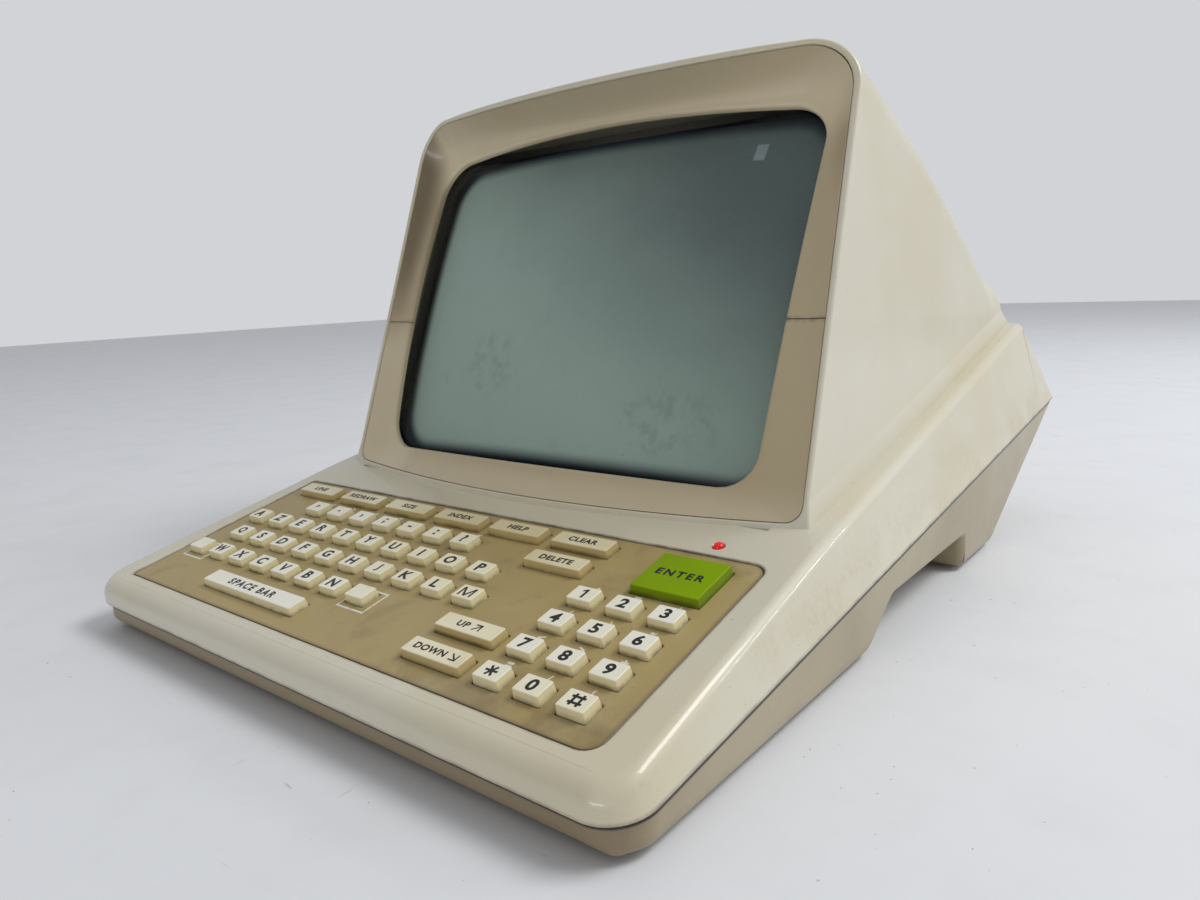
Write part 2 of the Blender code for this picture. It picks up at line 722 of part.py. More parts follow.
def window_outline():
    return screen_outline(
        WINDOW_HALF_BOTTOM, WINDOW_HALF_TOP, WINDOW_LOW, WINDOW_HIGH, WINDOW_RADIUS, WINDOW_RADIUS,
        WINDOW_CROWN_BOTTOM, WINDOW_CROWN_TOP, WINDOW_SIDE_BULGE,
    )


def window_surface(x, t):
    """Depth of the window's lip: part of a sphere that leans back a little more than the rim."""
    up = t - WINDOW_CENTRE
    return WINDOW_LIP_RISE - up * math.tan(WINDOW_LEAN) - (x**2 + up**2) / (2 * WINDOW_CURVE_RADIUS)


def at_height(outline, z):
    return [(x, t, z) for x, t in outline]


def rounded_plate(low_x, high_x, low_y, high_y, left_radius, right_radius, low_z, high_z):
    """A flat plate with one radius at its left corners and one at its right corners."""
    quarter = [i * math.pi / 2 / CORNER_STEPS for i in range(CORNER_STEPS + 1)]
    outline = []
    for x, y, radius, start in (
        (high_x - right_radius, low_y + right_radius, right_radius, -math.pi / 2),
        (high_x - right_radius, high_y - right_radius, right_radius, 0),
        (low_x + left_radius, high_y - left_radius, left_radius, math.pi / 2),
        (low_x + left_radius, low_y + left_radius, left_radius, math.pi),
    ):
        outline += [(x + radius * math.cos(start + a), y + radius * math.sin(start + a)) for a in quarter]
    return loft([at_height(outline, low_z), at_height(outline, high_z)])


def plate_shape(grow, low_z, high_z):
    half = PLATE_WIDTH / 2 + grow
    return rounded_plate(
        -half, half, -grow, PLATE_DEPTH + grow,
        max(PLATE_LEFT_RADIUS + grow, SEAT_GAP), max(PLATE_RIGHT_RADIUS + grow, SEAT_GAP), low_z, high_z,
    )


def plate_bottom():
    return -PLATE_RECESS - PLATE_THICKNESS


def lower_top(y):
    return parting_height(y) - SHELL_GAP


def lower_rear_slope():
    run = BODY_LENGTH - TIP_HEIGHT - FOOT_END_SETBACK
    return (lower_top(BODY_LENGTH) - TIP_HEIGHT - LOWER_GROUND_CLEARANCE) / run


def lower_profile(inset):
    """Underside of the lower shell, or the floor of its hollow, from front to back, as (y, z) pairs."""
    ground = LOWER_GROUND_CLEARANCE + inset
    front = LOWER_FRONT_STEP + inset
    slope = lower_rear_slope()
    lift = inset * math.sqrt(1 + slope**2)
    parting_slope = (PARTING_REAR_HEIGHT - PARTING_FRONT_HEIGHT) / BODY_LENGTH
    end = BODY_LENGTH - TIP_HEIGHT - lift / (slope - parting_slope)
    return [
        (front, ground + LOWER_FRONT_RISE),
        (front + LOWER_FRONT_RISE, ground),
        (BASE_END_SETBACK - inset, ground),
        (ARCH_START_SETBACK - inset, ARCH_HEIGHT + inset),
        (ARCH_END_SETBACK + inset, ARCH_HEIGHT + inset),
        (FOOT_START_SETBACK + inset, ground),
        (FOOT_END_SETBACK - (lift - inset) / slope, ground),
        (end, LOWER_GROUND_CLEARANCE + lift + slope * (end - FOOT_END_SETBACK)),
    ]


def lower_half_width(y, z, inset):
    loss = corner_loss(y, FRONT_CORNER_RADIUS - inset, LOWER_FRONT_STEP + inset)
    draft = LOWER_DRAFT_SHARE * (parting_height(y) - z)
    return BODY_WIDTH / 2 - LOWER_SIDE_STEP - inset - loss - draft


def lower_solid(inset, rise):
    """The tray under the parting line, or its hollow when given an inset and a rise above the line."""
    profile = lower_profile(inset)
    start = LOWER_FRONT_STEP + inset
    radius = FRONT_CORNER_RADIUS - inset
    turns = [i * math.pi / 2 / NOSE_STEPS for i in range(1, NOSE_STEPS + 1)]
    stations = sorted([y for y, _ in profile] + [start + radius * (1 - math.cos(a)) for a in turns])
    ys, zs = zip(*profile)
    rings = []
    for y in stations:
        bottom = float(np.interp(y, ys, zs))
        top = lower_top(y) + rise
        edge = min(LOWER_EDGE_RADIUS, (top - bottom) / 2)
        foot = lower_half_width(y, bottom + edge, inset) - edge
        right = []
        for i in range(RIDGE_STEPS + 1):
            angle = i * math.pi / 2 / RIDGE_STEPS
            right.append((foot + edge * math.sin(angle), bottom + edge * (1 - math.cos(angle))))
        right.append((lower_half_width(y, top, inset), top))
        section = right + [(-x, z) for x, z in reversed(right)]
        rings.append([(x, y, z) for x, z in section])
    return loft(rings)


def inner_floor(y):
    """Height of the lower shell's floor, inside, at y."""
    ys, zs = zip(*lower_profile(WALL))
    return float(np.interp(y, ys, zs))


def rim_to_case(t, n):
    """Turns a height along the rim and a distance out of it into y and z."""
    y = RIM_SETBACK + t * math.sin(RIM_TILT) - n * math.cos(RIM_TILT)
    return y, RIM_FOOT_HEIGHT + t * math.cos(RIM_TILT) + n * math.sin(RIM_TILT)


def tube_to_case(up, out):
    """Turns a height and a distance out of the tube's face, on the tube's own axes, into y and z."""
    t = WINDOW_CENTRE + up * math.cos(WINDOW_LEAN) + out * math.sin(WINDOW_LEAN)
    return rim_to_case(t, face_rise() - up * math.sin(WINDOW_LEAN) + out * math.cos(WINDOW_LEAN))


def face_rise():
    return WINDOW_LIP_RISE - BEZEL_THICKNESS - FACE_GAP


def face_depth(x, up):
    return -(x**2 + up**2) / (2 * WINDOW_CURVE_RADIUS)


def screw_places():
    """Where the case screws stand, as (x, y)."""
    ys = (SCREW_FRONT_SETBACK, SCREW_REAR_SETBACK)
    return [(side * SCREW_X, y) for y in ys for side in (-1, 1)]


def pad_places():
    return [(side * PAD_X, y) for y in (PAD_FRONT_SETBACK, PAD_REAR_SETBACK) for side in (-1, 1)]


def post_places():
    """Where the posts that carry the main board stand, as (x, y)."""
    half = MAIN_BOARD_WIDTH / 2 - POST_INSET
    reach = MAIN_BOARD_DEPTH / 2 - POST_INSET
    return [(a * half, MAIN_BOARD_SETBACK + b * reach) for a in (-1, 1) for b in (-1, 1)]


def number_places():
    """Name, x and row of each number key, from the front row back."""
    places = []
    for row, names in enumerate(NUMBER_KEYS):
        for column, name in enumerate(names):
            x = NUMBER_COLUMN_START + column * NUMBER_PITCH
            places.append((name, x, NUMBER_ROW_FRONT + row * KEY_ROW_PITCH))
    return places


def wide_key_places():
    """Name, x, row, width and depth of every key that isn't a letter or a number."""
    wide = (WIDE_KEY_WIDTH, WIDE_KEY_DEPTH)
    places = [("space_bar", SPACE_BAR_CENTRE_X, SPACE_BAR_ROW, SPACE_BAR_WIDTH, KEY_DEPTH)]
    places.append(("next_key", PAD_KEYS_X, NUMBER_ROW_FRONT, *wide))
    places.append(("back_key", PAD_KEYS_X, NUMBER_ROW_FRONT + KEY_ROW_PITCH, *wide))
    places.append(("correction_key", PAD_KEYS_X, CORRECTION_ROW, *wide))
    for column, name in enumerate(TOP_ROW_KEYS):
        places.append((name, TOP_ROW_START + column * TOP_ROW_PITCH, TOP_ROW, *wide))
    places.append(("send_key", SEND_KEY_X, SEND_KEY_ROW, WIDE_KEY_WIDTH, SEND_KEY_DEPTH))
    return places


def letter_row_places(index):
    """The x of each key in a letter row, and the row itself."""
    _, count, start_share = LETTER_ROWS[index]
    start = start_share * PLATE_WIDTH
    return [start + column * KEY_PITCH for column in range(count)], LETTER_ROW_FRONT + index * KEY_ROW_PITCH


def all_key_sizes():
    """x, row, width and depth of every key cap, for the holes in the plate."""
    places = [(x, row, KEY_WIDTH, KEY_DEPTH) for _, x, row in number_places()]
    places += [place[1:] for place in wide_key_places()]
    for index in range(len(LETTER_ROWS)):
        xs, row = letter_row_places(index)
        places += [(x, row, KEY_WIDTH, KEY_DEPTH) for x in xs]
    return places


def flange_bottom():
    return plate_bottom() - SEAT_GAP - KEY_FLANGE_THICKNESS


def key_rings(x, y, width, depth):
    """A key from its plunger up: plunger, flange under the plate, cap with its draft and its top edge."""
    base = flange_bottom()
    top = -PLATE_RECESS + KEY_HEIGHT
    plunger = base - (KEYBOARD_BOARD_DROP + base - CONTACT_SHEET_THICKNESS - KEY_TRAVEL - SEAT_GAP)
    half_x, half_y = width / 2 + KEY_DRAFT, depth / 2 + KEY_DRAFT
    levels = (
        (PLUNGER_SIZE / 2, PLUNGER_SIZE / 2, plunger),
        (PLUNGER_SIZE / 2, PLUNGER_SIZE / 2, base),
        (half_x + KEY_FLANGE, half_y + KEY_FLANGE, base),
        (half_x + KEY_FLANGE, half_y + KEY_FLANGE, base + KEY_FLANGE_THICKNESS),
        (half_x, half_y, base + KEY_FLANGE_THICKNESS),
        (half_x, half_y, -PLATE_RECESS),
        (width / 2, depth / 2, top - KEY_EDGE),
        (width / 2 - KEY_EDGE, depth / 2 - KEY_EDGE, top),
    )
    return [[(x + a * i, y + b * j, z) for i, j in CORNER_SIGNS] for a, b, z in levels]


def make_case_finishes():
    return {
        "ivory": finish("ivory_shell", (0.77, 0.73, 0.61), 0.38),
        "tan": finish("tan_shell", (0.42, 0.36, 0.27), 0.5),
        "mocha": finish("mocha_bezel", (0.47, 0.41, 0.32), 0.45),
        "plate": finish("khaki_plate", (0.31, 0.25, 0.15), 0.55),
        "key": finish("ivory_key", (0.82, 0.80, 0.70), 0.45),
        "wide_key": finish("beige_key", (0.62, 0.53, 0.35), 0.5),
        "send": finish("green_key", (0.26, 0.38, 0.03), 0.45),
        "glass": finish("tube_glass", (0.20, 0.24, 0.23), 0.08),
        "steel": finish("zinc_steel", (0.55, 0.55, 0.56), 0.35, 1.0),
        "aluminium": finish("aluminium", (0.78, 0.78, 0.80), 0.4, 1.0),
        "winding": finish("copper_winding", (0.55, 0.20, 0.09), 0.35, 1.0),
        "board": finish("circuit_board", (0.10, 0.22, 0.08), 0.55),
        "black": finish("black_plastic", (0.03, 0.03, 0.03), 0.45),
        "rubber": finish("black_rubber", (0.02, 0.02, 0.02), 0.85),
        "lamp": finish("red_lamp", (0.80, 0.02, 0.02), 0.2),
        "sheet": finish("contact_sheet", (0.55, 0.52, 0.45), 0.6),
    }


def make_upper_shell(root, deck, screen, tube, rear, ivory):
    """Deck, shoulders and monitor housing in one moulding, open below and at the rim."""
    shell = piece("upper_shell", case_solid(0.0, 0.0), ivory, root, smooth=SMOOTH)
    housing = cutter("housing_outside", housing_solid(0.0, housing_root), root)
    join(housing, cutter("foot_bands", foot_bands(), root))
    reach = BODY_WIDTH
    front = sheet_to(rim_surface, reach, BODY_WIDTH / 2, -RIM_HEIGHT / 2, RIM_HEIGHT * 2)
    cut(housing, cutter("rim_front", front, screen))
    join(shell, housing)
    cut(shell, cutter("case_hollow", case_solid(WALL, OVERRUN), root))
    hollow = cutter("housing_hollow", housing_solid(WALL, hollow_root), root)
    frame_block = block((-reach, -RIM_HEIGHT / 2, -RIM_RING_DEPTH), (reach, RIM_HEIGHT * 2, reach))
    cut(hollow, cutter("rim_frame", frame_block, screen))
    cut(shell, hollow)
    opening = [at_height(bezel_outline(0.0), z) for z in (-RIM_RING_DEPTH - OVERRUN, reach)]
    cut(shell, cutter("bezel_opening", loft(opening), screen))
    add_plate_seat(shell, deck)
    add_tube_shelves(shell, tube)
    add_screw_posts(shell, root)
    cut(shell, cutter("led_hole", turned([
        (LED_RADIUS + SEAT_GAP, -OVERRUN), (LED_RADIUS + SEAT_GAP, OVERRUN)], LED_X, LED_ROW), deck))
    cut(shell, cutter("vent_slots", vent_slots(), root))
    cut_rear_holes(shell, rear)
    return shell


def add_plate_seat(shell, deck):
    """The ledge that carries the keyboard plate, and the pocket and window above it."""
    floor = plate_bottom() - SEAT_GAP
    seat = plate_shape(PLATE_SEAT_MARGIN, floor - PLATE_SEAT_THICKNESS, -WALL / 2)
    join(shell, cutter("plate_seat", seat, deck))
    cut(shell, cutter("plate_pocket", plate_shape(SEAT_GAP, floor, OVERRUN), deck))
    cut(shell, cutter("plate_window", plate_shape(-PLATE_LEDGE, -OVERRUN, OVERRUN), deck))


def lug_reach(up, out, gap):
    """Half width inside the housing at a point on the tube's axes, less a gap."""
    y, z = tube_to_case(up, out)
    return housing_half_width(y, z, WALL) - gap


def lug_boxes(low_out, high_out, inner, height, gap):
    """One box at each corner of the tube, from an inner half width to the housing's side."""
    boxes = []
    for up in (-LUG_ROW, LUG_ROW):
        outer = lug_reach(up + height / 2, low_out, gap)
        for side in (-1, 1):
            xs = sorted((side * inner, side * outer))
            boxes.append(((xs[0], up - height / 2, low_out), (xs[1], up + height / 2, high_out)))
    return boxes


def lug_top():
    return face_depth(FACE_HALF_WIDTH, 0) - BAND_SETBACK


def add_tube_shelves(shell, tube):
    """A block on the housing's side in front of each lug of the tension band."""
    low = lug_top() + SEAT_GAP
    inner = FACE_HALF_WIDTH + BAND_THICKNESS + 3 * SEAT_GAP
    boxes = lug_boxes(low, low + LUG_SHELF_THICKNESS, inner, LUG_SHELF_HEIGHT, -FUSE_DEPTH)
    join(shell, cutter("tube_shelves", blocks(boxes), tube))


def add_screw_posts(shell, root):
    """A post for each case screw, from the parting line up into the shell, with its pilot hole."""
    posts = bmesh.new()
    holes = bmesh.new()
    for x, y in screw_places():
        top = case_top(y - BOSS_RADIUS, 0) - WALL / 2
        bottom = parting_height(y)
        add_loft(posts, [circle(BOSS_RADIUS, z, x, y) for z in (bottom, top)])
        pilot = SCREW_RADIUS + SEAT_GAP
        add_loft(holes, [circle(pilot, z, x, y) for z in (bottom - OVERRUN, bottom + SCREW_GRIP)])
    join(shell, cutter("screw_posts", posts, root))
    cut(shell, cutter("pilot_holes", holes, root))


def vent_slots():
    boxes = []
    for i in range(VENT_COUNT):
        x = (i - (VENT_COUNT - 1) / 2) * VENT_PITCH
        low = (x - VENT_WIDTH / 2, VENT_SETBACK, HOUSING_TAIL_HEIGHT - OVERRUN)
        high = (x + VENT_WIDTH / 2, VENT_SETBACK + VENT_LENGTH, HOUSING_CREST_HEIGHT)
        boxes.append((low, high))
    return blocks(boxes)


def cut_rear_holes(shell, rear):
    """Holes through the rear face for the button, the knob, the socket and the two glands."""
    half_x, half_y = POWER_WIDTH / 2 + SEAT_GAP, POWER_HEIGHT / 2 + SEAT_GAP
    holes = blocks([((POWER_X - half_x, -half_y, -OVERRUN), (POWER_X + half_x, half_y, OVERRUN))])
    for x, radius in (
        (KNOB_X, KNOB_SHAFT_RADIUS),
        (SOCKET_X, SOCKET_RADIUS),
        (MAINS_GLAND_X, GLAND_NECK),
        (PHONE_GLAND_X, GLAND_NECK),
    ):
        add_loft(holes, [circle(radius + SEAT_GAP, z, x) for z in (-OVERRUN, OVERRUN)])
    cut(shell, cutter("rear_holes", holes, rear))


def make_lower_shell(root, tan):
    """Tray with a front base, an arch for the hand or cords, and a rear foot."""
    shell = piece("lower_shell", lower_solid(0.0, 0.0), tan, root, smooth=SMOOTH)
    cut(shell, cutter("tray_hollow", lower_solid(WALL, OVERRUN), root))
    posts = bmesh.new()
    for x, y in post_places():
        low = inner_floor(y) - WALL / 2
        add_loft(posts, [circle(POST_RADIUS, z, x, y) for z in (low, MAIN_BOARD_HEIGHT - SEAT_GAP)])
    for x, y in screw_places():
        low = min(inner_floor(y - BOSS_RADIUS), inner_floor(y + BOSS_RADIUS)) - WALL / 2
        top = lower_top(y - BOSS_RADIUS)
        add_loft(posts, [circle(BOSS_RADIUS, z, x, y) for z in (low, top)])
    join(shell, cutter("tray_posts", posts, root))
    holes = bmesh.new()
    for x, y in screw_places():
        head, shank = SCREW_HEAD_RADIUS + SEAT_GAP, SCREW_RADIUS + SEAT_GAP
        levels = ((head, -OVERRUN), (head, screw_seat(y)), (shank, screw_seat(y)), (shank, lower_top(y) + OVERRUN))
        add_loft(holes, [circle(radius, z, x, y) for radius, z in levels])
    cut(shell, cutter("screw_holes", holes, root))
    return shell


def screw_seat(y):
    """Height at which a screw's head bears on the bottom of its boss."""
    return inner_floor(y) + WALL


def make_keyboard(deck, finishes):
    flat = plate_shape(0.0, plate_bottom(), -PLATE_RECESS)
    plate = piece("keyboard_plate", flat, finishes["plate"], deck, smooth=SMOOTH)
    skirt_low = -KEYBOARD_BOARD_DROP + SEAT_GAP
    skirt_outer = plate_shape(-PLATE_SKIRT_INSET, skirt_low, plate_bottom() + WALL / 4)
    join(plate, cutter("plate_skirt", skirt_outer, deck))
    inside = -PLATE_SKIRT_INSET - PLATE_SKIRT_WIDTH
    cut(plate, cutter("skirt_hollow", plate_shape(inside, skirt_low - OVERRUN, plate_bottom()), deck))
    grow = KEY_DRAFT + KEY_HOLE_GAP
    holes = blocks([
        ((x - w / 2 - grow, y - d / 2 - grow, -OVERRUN), (x + w / 2 + grow, y + d / 2 + grow, OVERRUN))
        for x, y, w, d in all_key_sizes()
    ])
    cut(plate, cutter("key_holes", holes, deck))
    margin = PLATE_LEDGE + KEYBOARD_BOARD_MARGIN
    half = PLATE_WIDTH / 2 - margin
    board_top = -KEYBOARD_BOARD_DROP
    board = block((-half, margin, board_top - BOARD_THICKNESS), (half, PLATE_DEPTH - margin, board_top))
    piece("keyboard_board", board, finishes["board"], deck)
    half = PLATE_WIDTH / 2 - CONTACT_SHEET_MARGIN
    sheet = block(
        (-half, CONTACT_SHEET_MARGIN, board_top + SEAT_GAP),
        (half, PLATE_DEPTH - CONTACT_SHEET_MARGIN, board_top + CONTACT_SHEET_THICKNESS))
    piece("contact_sheet", sheet, finishes["sheet"], deck)
    for name, x, y in number_places():
        piece(name, loft(key_rings(0.0, 0.0, KEY_WIDTH, KEY_DEPTH)), finishes["key"], deck, (x, y, 0))
    for name, x, y, width, depth in wide_key_places():
        colour = {"send_key": "send", "space_bar": "key"}.get(name, "wide_key")
        piece(name, loft(key_rings(0.0, 0.0, width, depth)), finishes[colour], deck, (x, y, 0))
    for index, (name, _, _) in enumerate(LETTER_ROWS):
        make_letter_row(name, index, deck, finishes["key"])


def make_letter_row(name, index, deck, material):
    """One row of letter keys joined by a web under the plate."""
    xs, row = letter_row_places(index)
    base = flange_bottom()
    reach = (xs[-1] - xs[0]) / 2
    half = KEY_DEPTH / 2
    web = block((-reach, -half, base + SEAT_GAP), (reach, half, base + KEY_FLANGE_THICKNESS - SEAT_GAP))
    row_object = piece(name, web, material, deck, ((xs[0] + xs[-1]) / 2, row, 0))
    caps = bmesh.new()
    for x in xs:
        add_loft(caps, key_rings(x, row, KEY_WIDTH, KEY_DEPTH))
    join(row_object, cutter(f"{name}_caps", caps, deck))


def make_status_led(deck, material):
    """A red lamp with a domed tip, standing through the deck, its collar under the shell."""
    collar = -WALL - SEAT_GAP
    profile = [
        (LED_RADIUS + LED_COLLAR, collar - LED_LENGTH + LED_RISE),
        (LED_RADIUS + LED_COLLAR, collar),
        (LED_RADIUS, collar),
        (LED_RADIUS, 0.0),
        (LED_RADIUS * math.cos(math.pi / 6), LED_RISE / 2),
        (LED_RADIUS * math.cos(math.pi / 3), LED_RISE),
    ]
    piece("status_led", turned(profile), material, deck, (LED_X, LED_ROW, 0), smooth=SMOOTH)


def make_bezel(screen, mocha):
    """The moulding round the tube's window, in an upper and a lower part that meet at a level seam."""
    outer, inner = bezel_outline(SEAT_GAP), window_outline()

    def ring(across, deep, drop):
        points = []
        for (x0, t0), (x1, t1) in zip(outer, inner):
            n0 = rim_surface(x0, t0) - BEZEL_RECESS
            n1 = window_surface(x1, t1)
            x, t = x0 + (x1 - x0) * across, t0 + (t1 - t0) * across
            points.append((x, t, n0 + (n1 - n0) * deep - drop))
        return points

    rings = [ring(a, d, 0.0) for a, d in BEZEL_FRONT_SHARES]
    rings += [ring(a, d, BEZEL_THICKNESS) for a, d in BEZEL_BACK_SHARES]
    reach = BODY_WIDTH
    seam = BEZEL_SEAM_LOW
    halves = (
        ("bezel_upper", (-reach, -reach, -reach), (reach, seam, reach)),
        ("bezel_lower", (-reach, seam - SEAT_GAP, -reach), (reach, reach * 2, reach)),
    )
    for name, low, high in halves:
        half = piece(name, closed_loft(rings), mocha, screen, smooth=SMOOTH)
        cut(half, cutter(f"{name}_trim", block(low, high), screen))


def face_outline(grow):
    """The outline of the tube's panel, as (x, up) points about its axis."""
    half_x, half_y = FACE_HALF_WIDTH + grow, FACE_HALF_HEIGHT + grow
    radius = FACE_CORNER_RADIUS + grow
    return screen_outline(half_x, half_x, -half_y, half_y, radius, radius)


def blended_ring(outline, scale, roundness, out):
    """The panel's outline at a scale, drawn towards a circle, at one distance along the axis."""
    points = []
    for x, up in outline:
        angle = math.atan2(up, x)
        radius = FACE_HALF_HEIGHT * scale
        round_x, round_y = radius * math.cos(angle), radius * math.sin(angle)
        points.append((
            x * scale * (1 - roundness) + round_x * roundness,
            up * scale * (1 - roundness) + round_y * roundness, out))
    return points


def neck_ring(outline, radius, out):
    return [(radius * math.cos(a), radius * math.sin(a), out) for a in (math.atan2(u, x) for x, u in outline)]


def make_picture_tube(tube, glass):
    """Hollow glass tube: curved face, panel, funnel, and a neck that is open where its pin base goes in."""
    outside, inside = face_outline(0.0), face_outline(-GLASS_WALL)
    panel_back = face_depth(FACE_HALF_WIDTH, 0) - PANEL_DEPTH
    neck_start = panel_back - FUNNEL_DEPTH
    neck_end = neck_start - NECK_LENGTH
    rings = [
        [(x * s, up * s, face_depth(x * s, up * s)) for x, up in outside] for s in (*FACE_RING_SHARES, 1.0)
    ]
    rings.append(blended_ring(outside, 1.0, 0.0, panel_back))
    for along, scale in FUNNEL_SHARES:
        rings.append(blended_ring(outside, scale, along**2, panel_back - along * FUNNEL_DEPTH))
    rings.append(neck_ring(outside, NECK_RADIUS, neck_start))
    rings.append(neck_ring(outside, NECK_RADIUS, neck_end))
    bore = NECK_RADIUS - NECK_WALL
    rings.append(neck_ring(outside, bore, neck_end))
    rings.append(neck_ring(outside, bore, neck_start))
    for along, scale in reversed(FUNNEL_SHARES):
        shrunk = scale - GLASS_WALL / FACE_HALF_HEIGHT
        rings.append(blended_ring(outside, shrunk, along**2, panel_back - along * FUNNEL_DEPTH))
    rings.append(blended_ring(inside, 1.0, 0.0, panel_back))
    for s in (1.0, *reversed(FACE_RING_SHARES)):
        rings.append([(x * s, up * s, face_depth(x * s, up * s) - 2 * GLASS_WALL) for x, up in inside])
    builder = loft(rings, (0, 0, 0), (0, 0, -2 * GLASS_WALL))
    piece("picture_tube", builder, glass, tube, smooth=SMOOTH)
    return neck_start, neck_end


def make_tube_fittings(tube, neck_start, neck_end, finishes):
    """Tension band with its lugs, deflection yoke, pin base and the board behind the neck."""
    top = lug_top()
    band_rings = [
        [(x, up, out) for x, up in face_outline(grow)]
        for grow, out in (
            (SEAT_GAP, top - BAND_WIDTH), (SEAT_GAP, top),
            (BAND_THICKNESS, top), (BAND_THICKNESS, top - BAND_WIDTH),
        )
    ]
    band = piece("tension_band", closed_loft(band_rings), finishes["steel"], tube, smooth=SMOOTH)
    inner = FACE_HALF_WIDTH + BAND_THICKNESS / 2
    boxes = lug_boxes(top - LUG_THICKNESS, top, inner, LUG_HEIGHT, SEAT_GAP)
    join(band, cutter("band_lugs", blocks(boxes), tube))
    front = neck_start + YOKE_FLARE
    back = front - YOKE_LENGTH
    fit = NECK_RADIUS + 2 * SEAT_GAP
    yoke = [
        (fit + YOKE_BELL, front), (YOKE_RADIUS_FRONT, front), (YOKE_RADIUS_FRONT, front - YOKE_FLARE),
        (YOKE_RADIUS_BACK, back), (fit, back), (fit, neck_start - SEAT_GAP),
    ]
    piece("deflection_yoke", turned_ring(yoke), finishes["winding"], tube, smooth=SMOOTH)
    board_top = neck_end - PIN_BASE_LENGTH
    bore = NECK_RADIUS - NECK_WALL - SEAT_GAP
    base = [
        (NECK_RADIUS, board_top - BOARD_THICKNESS / 2), (NECK_RADIUS, neck_end - SEAT_GAP),
        (bore, neck_end - SEAT_GAP), (bore, neck_end + PIN_BASE_LENGTH / 2),
    ]
    half_x, half_y = NECK_BOARD_WIDTH / 2, NECK_BOARD_HEIGHT / 2
    low, high = NECK_BOARD_RISE - half_y, NECK_BOARD_RISE + half_y
    board = block((-half_x, low, board_top - BOARD_THICKNESS), (half_x, high, board_top))
    neck_board = piece("neck_board", board, finishes["board"], tube)
    join(neck_board, cutter("tube_pin_base", turned(base), tube))


def resting_box(name, centre_x, centre_y, width, depth, height, material, root):
    """A plain boxed component standing on the main board."""
    bottom = MAIN_BOARD_HEIGHT + BOARD_THICKNESS + SEAT_GAP
    low, high = (-width / 2, -depth / 2, bottom), (width / 2, depth / 2, bottom + height)
    return piece(name, block(low, high), material, root, (centre_x, centre_y, 0))


def make_electronics(root, finishes):
    """The main board on its posts, and what stands on it."""
    half_x, half_y = MAIN_BOARD_WIDTH / 2, MAIN_BOARD_DEPTH / 2
    bottom = MAIN_BOARD_HEIGHT
    board = block((-half_x, -half_y, bottom), (half_x, half_y, bottom + BOARD_THICKNESS))
    main_board = piece("main_board", board, finishes["board"], root, (0, MAIN_BOARD_SETBACK, 0))
    low_x, high_x = PROCESSOR_X - PROCESSOR_WIDTH / 2, PROCESSOR_X + PROCESSOR_WIDTH / 2
    low_y, high_y = MODEM_SETBACK - PROCESSOR_DEPTH / 2, MODEM_SETBACK + PROCESSOR_DEPTH / 2
    low, high = bottom + BOARD_THICKNESS / 2, bottom + BOARD_THICKNESS + PROCESSOR_HEIGHT
    join(main_board, cutter("processor_chip", block((low_x, low_y, low), (high_x, high_y, high)), root))
    resting_box("modem_module", MODEM_X, MODEM_SETBACK, MODEM_WIDTH, MODEM_DEPTH, MODEM_HEIGHT,
                finishes["black"], root)
    core = resting_box("mains_transformer", TRANSFORMER_X, FLYBACK_SETBACK, TRANSFORMER_WIDTH,
                       TRANSFORMER_DEPTH, TRANSFORMER_HEIGHT, finishes["steel"], root)
    floor = bottom + BOARD_THICKNESS + SEAT_GAP
    reach = TRANSFORMER_DEPTH / 2 + TRANSFORMER_COIL_OVERHANG
    half, low = TRANSFORMER_WIDTH / 4, floor + TRANSFORMER_HEIGHT / 5
    coil = block((TRANSFORMER_X - half, FLYBACK_SETBACK - reach, low),
                 (TRANSFORMER_X + half, FLYBACK_SETBACK + reach, floor + TRANSFORMER_HEIGHT * 4 / 5))
    join(core, cutter("transformer_coil", coil, root))
    potting = turned([(FLYBACK_RADIUS, floor), (FLYBACK_RADIUS, floor + FLYBACK_HEIGHT)])
    place = (FLYBACK_X, FLYBACK_SETBACK, 0)
    flyback = piece("flyback_transformer", potting, finishes["black"], root, place, smooth=SMOOTH)
    side = FLYBACK_CORE_WIDTH / 2
    low, high = floor + FLYBACK_HEIGHT / 4, floor + FLYBACK_HEIGHT * 3 / 4
    ferrite = block((0, -side, low), (FLYBACK_RADIUS + side, side, high))
    join(flyback, cutter("flyback_core", ferrite, root, place))
    piece("heat_sink", heat_sink(floor), finishes["aluminium"], root, (0, HEAT_SINK_SETBACK, 0))
    buzzer = turned([(BUZZER_RADIUS, floor), (BUZZER_RADIUS, floor + BUZZER_HEIGHT)])
    piece("buzzer", buzzer, finishes["black"], root, (BUZZER_X, BUZZER_SETBACK, 0), smooth=SMOOTH)


def heat_sink(floor):
    """An extruded comb: a back web with fins standing off it."""
    pitch = (HEAT_SINK_WIDTH - HEAT_SINK_FIN) / (HEAT_SINK_FINS - 1)
    outline = [(-HEAT_SINK_WIDTH / 2, HEAT_SINK_DEPTH / 2), (-HEAT_SINK_WIDTH / 2, -HEAT_SINK_DEPTH / 2)]
    root_y = HEAT_SINK_DEPTH / 2 - 2 * HEAT_SINK_FIN
    for i in range(HEAT_SINK_FINS):
        left = -HEAT_SINK_WIDTH / 2 + i * pitch
        if i:
            outline += [(left, root_y), (left, -HEAT_SINK_DEPTH / 2)]
        outline += [(left + HEAT_SINK_FIN, -HEAT_SINK_DEPTH / 2)]
        if i < HEAT_SINK_FINS - 1:
            outline += [(left + HEAT_SINK_FIN, root_y)]
    outline += [(HEAT_SINK_WIDTH / 2, HEAT_SINK_DEPTH / 2)]
    return loft([at_height(outline, floor), at_height(outline, floor + HEAT_SINK_HEIGHT)])


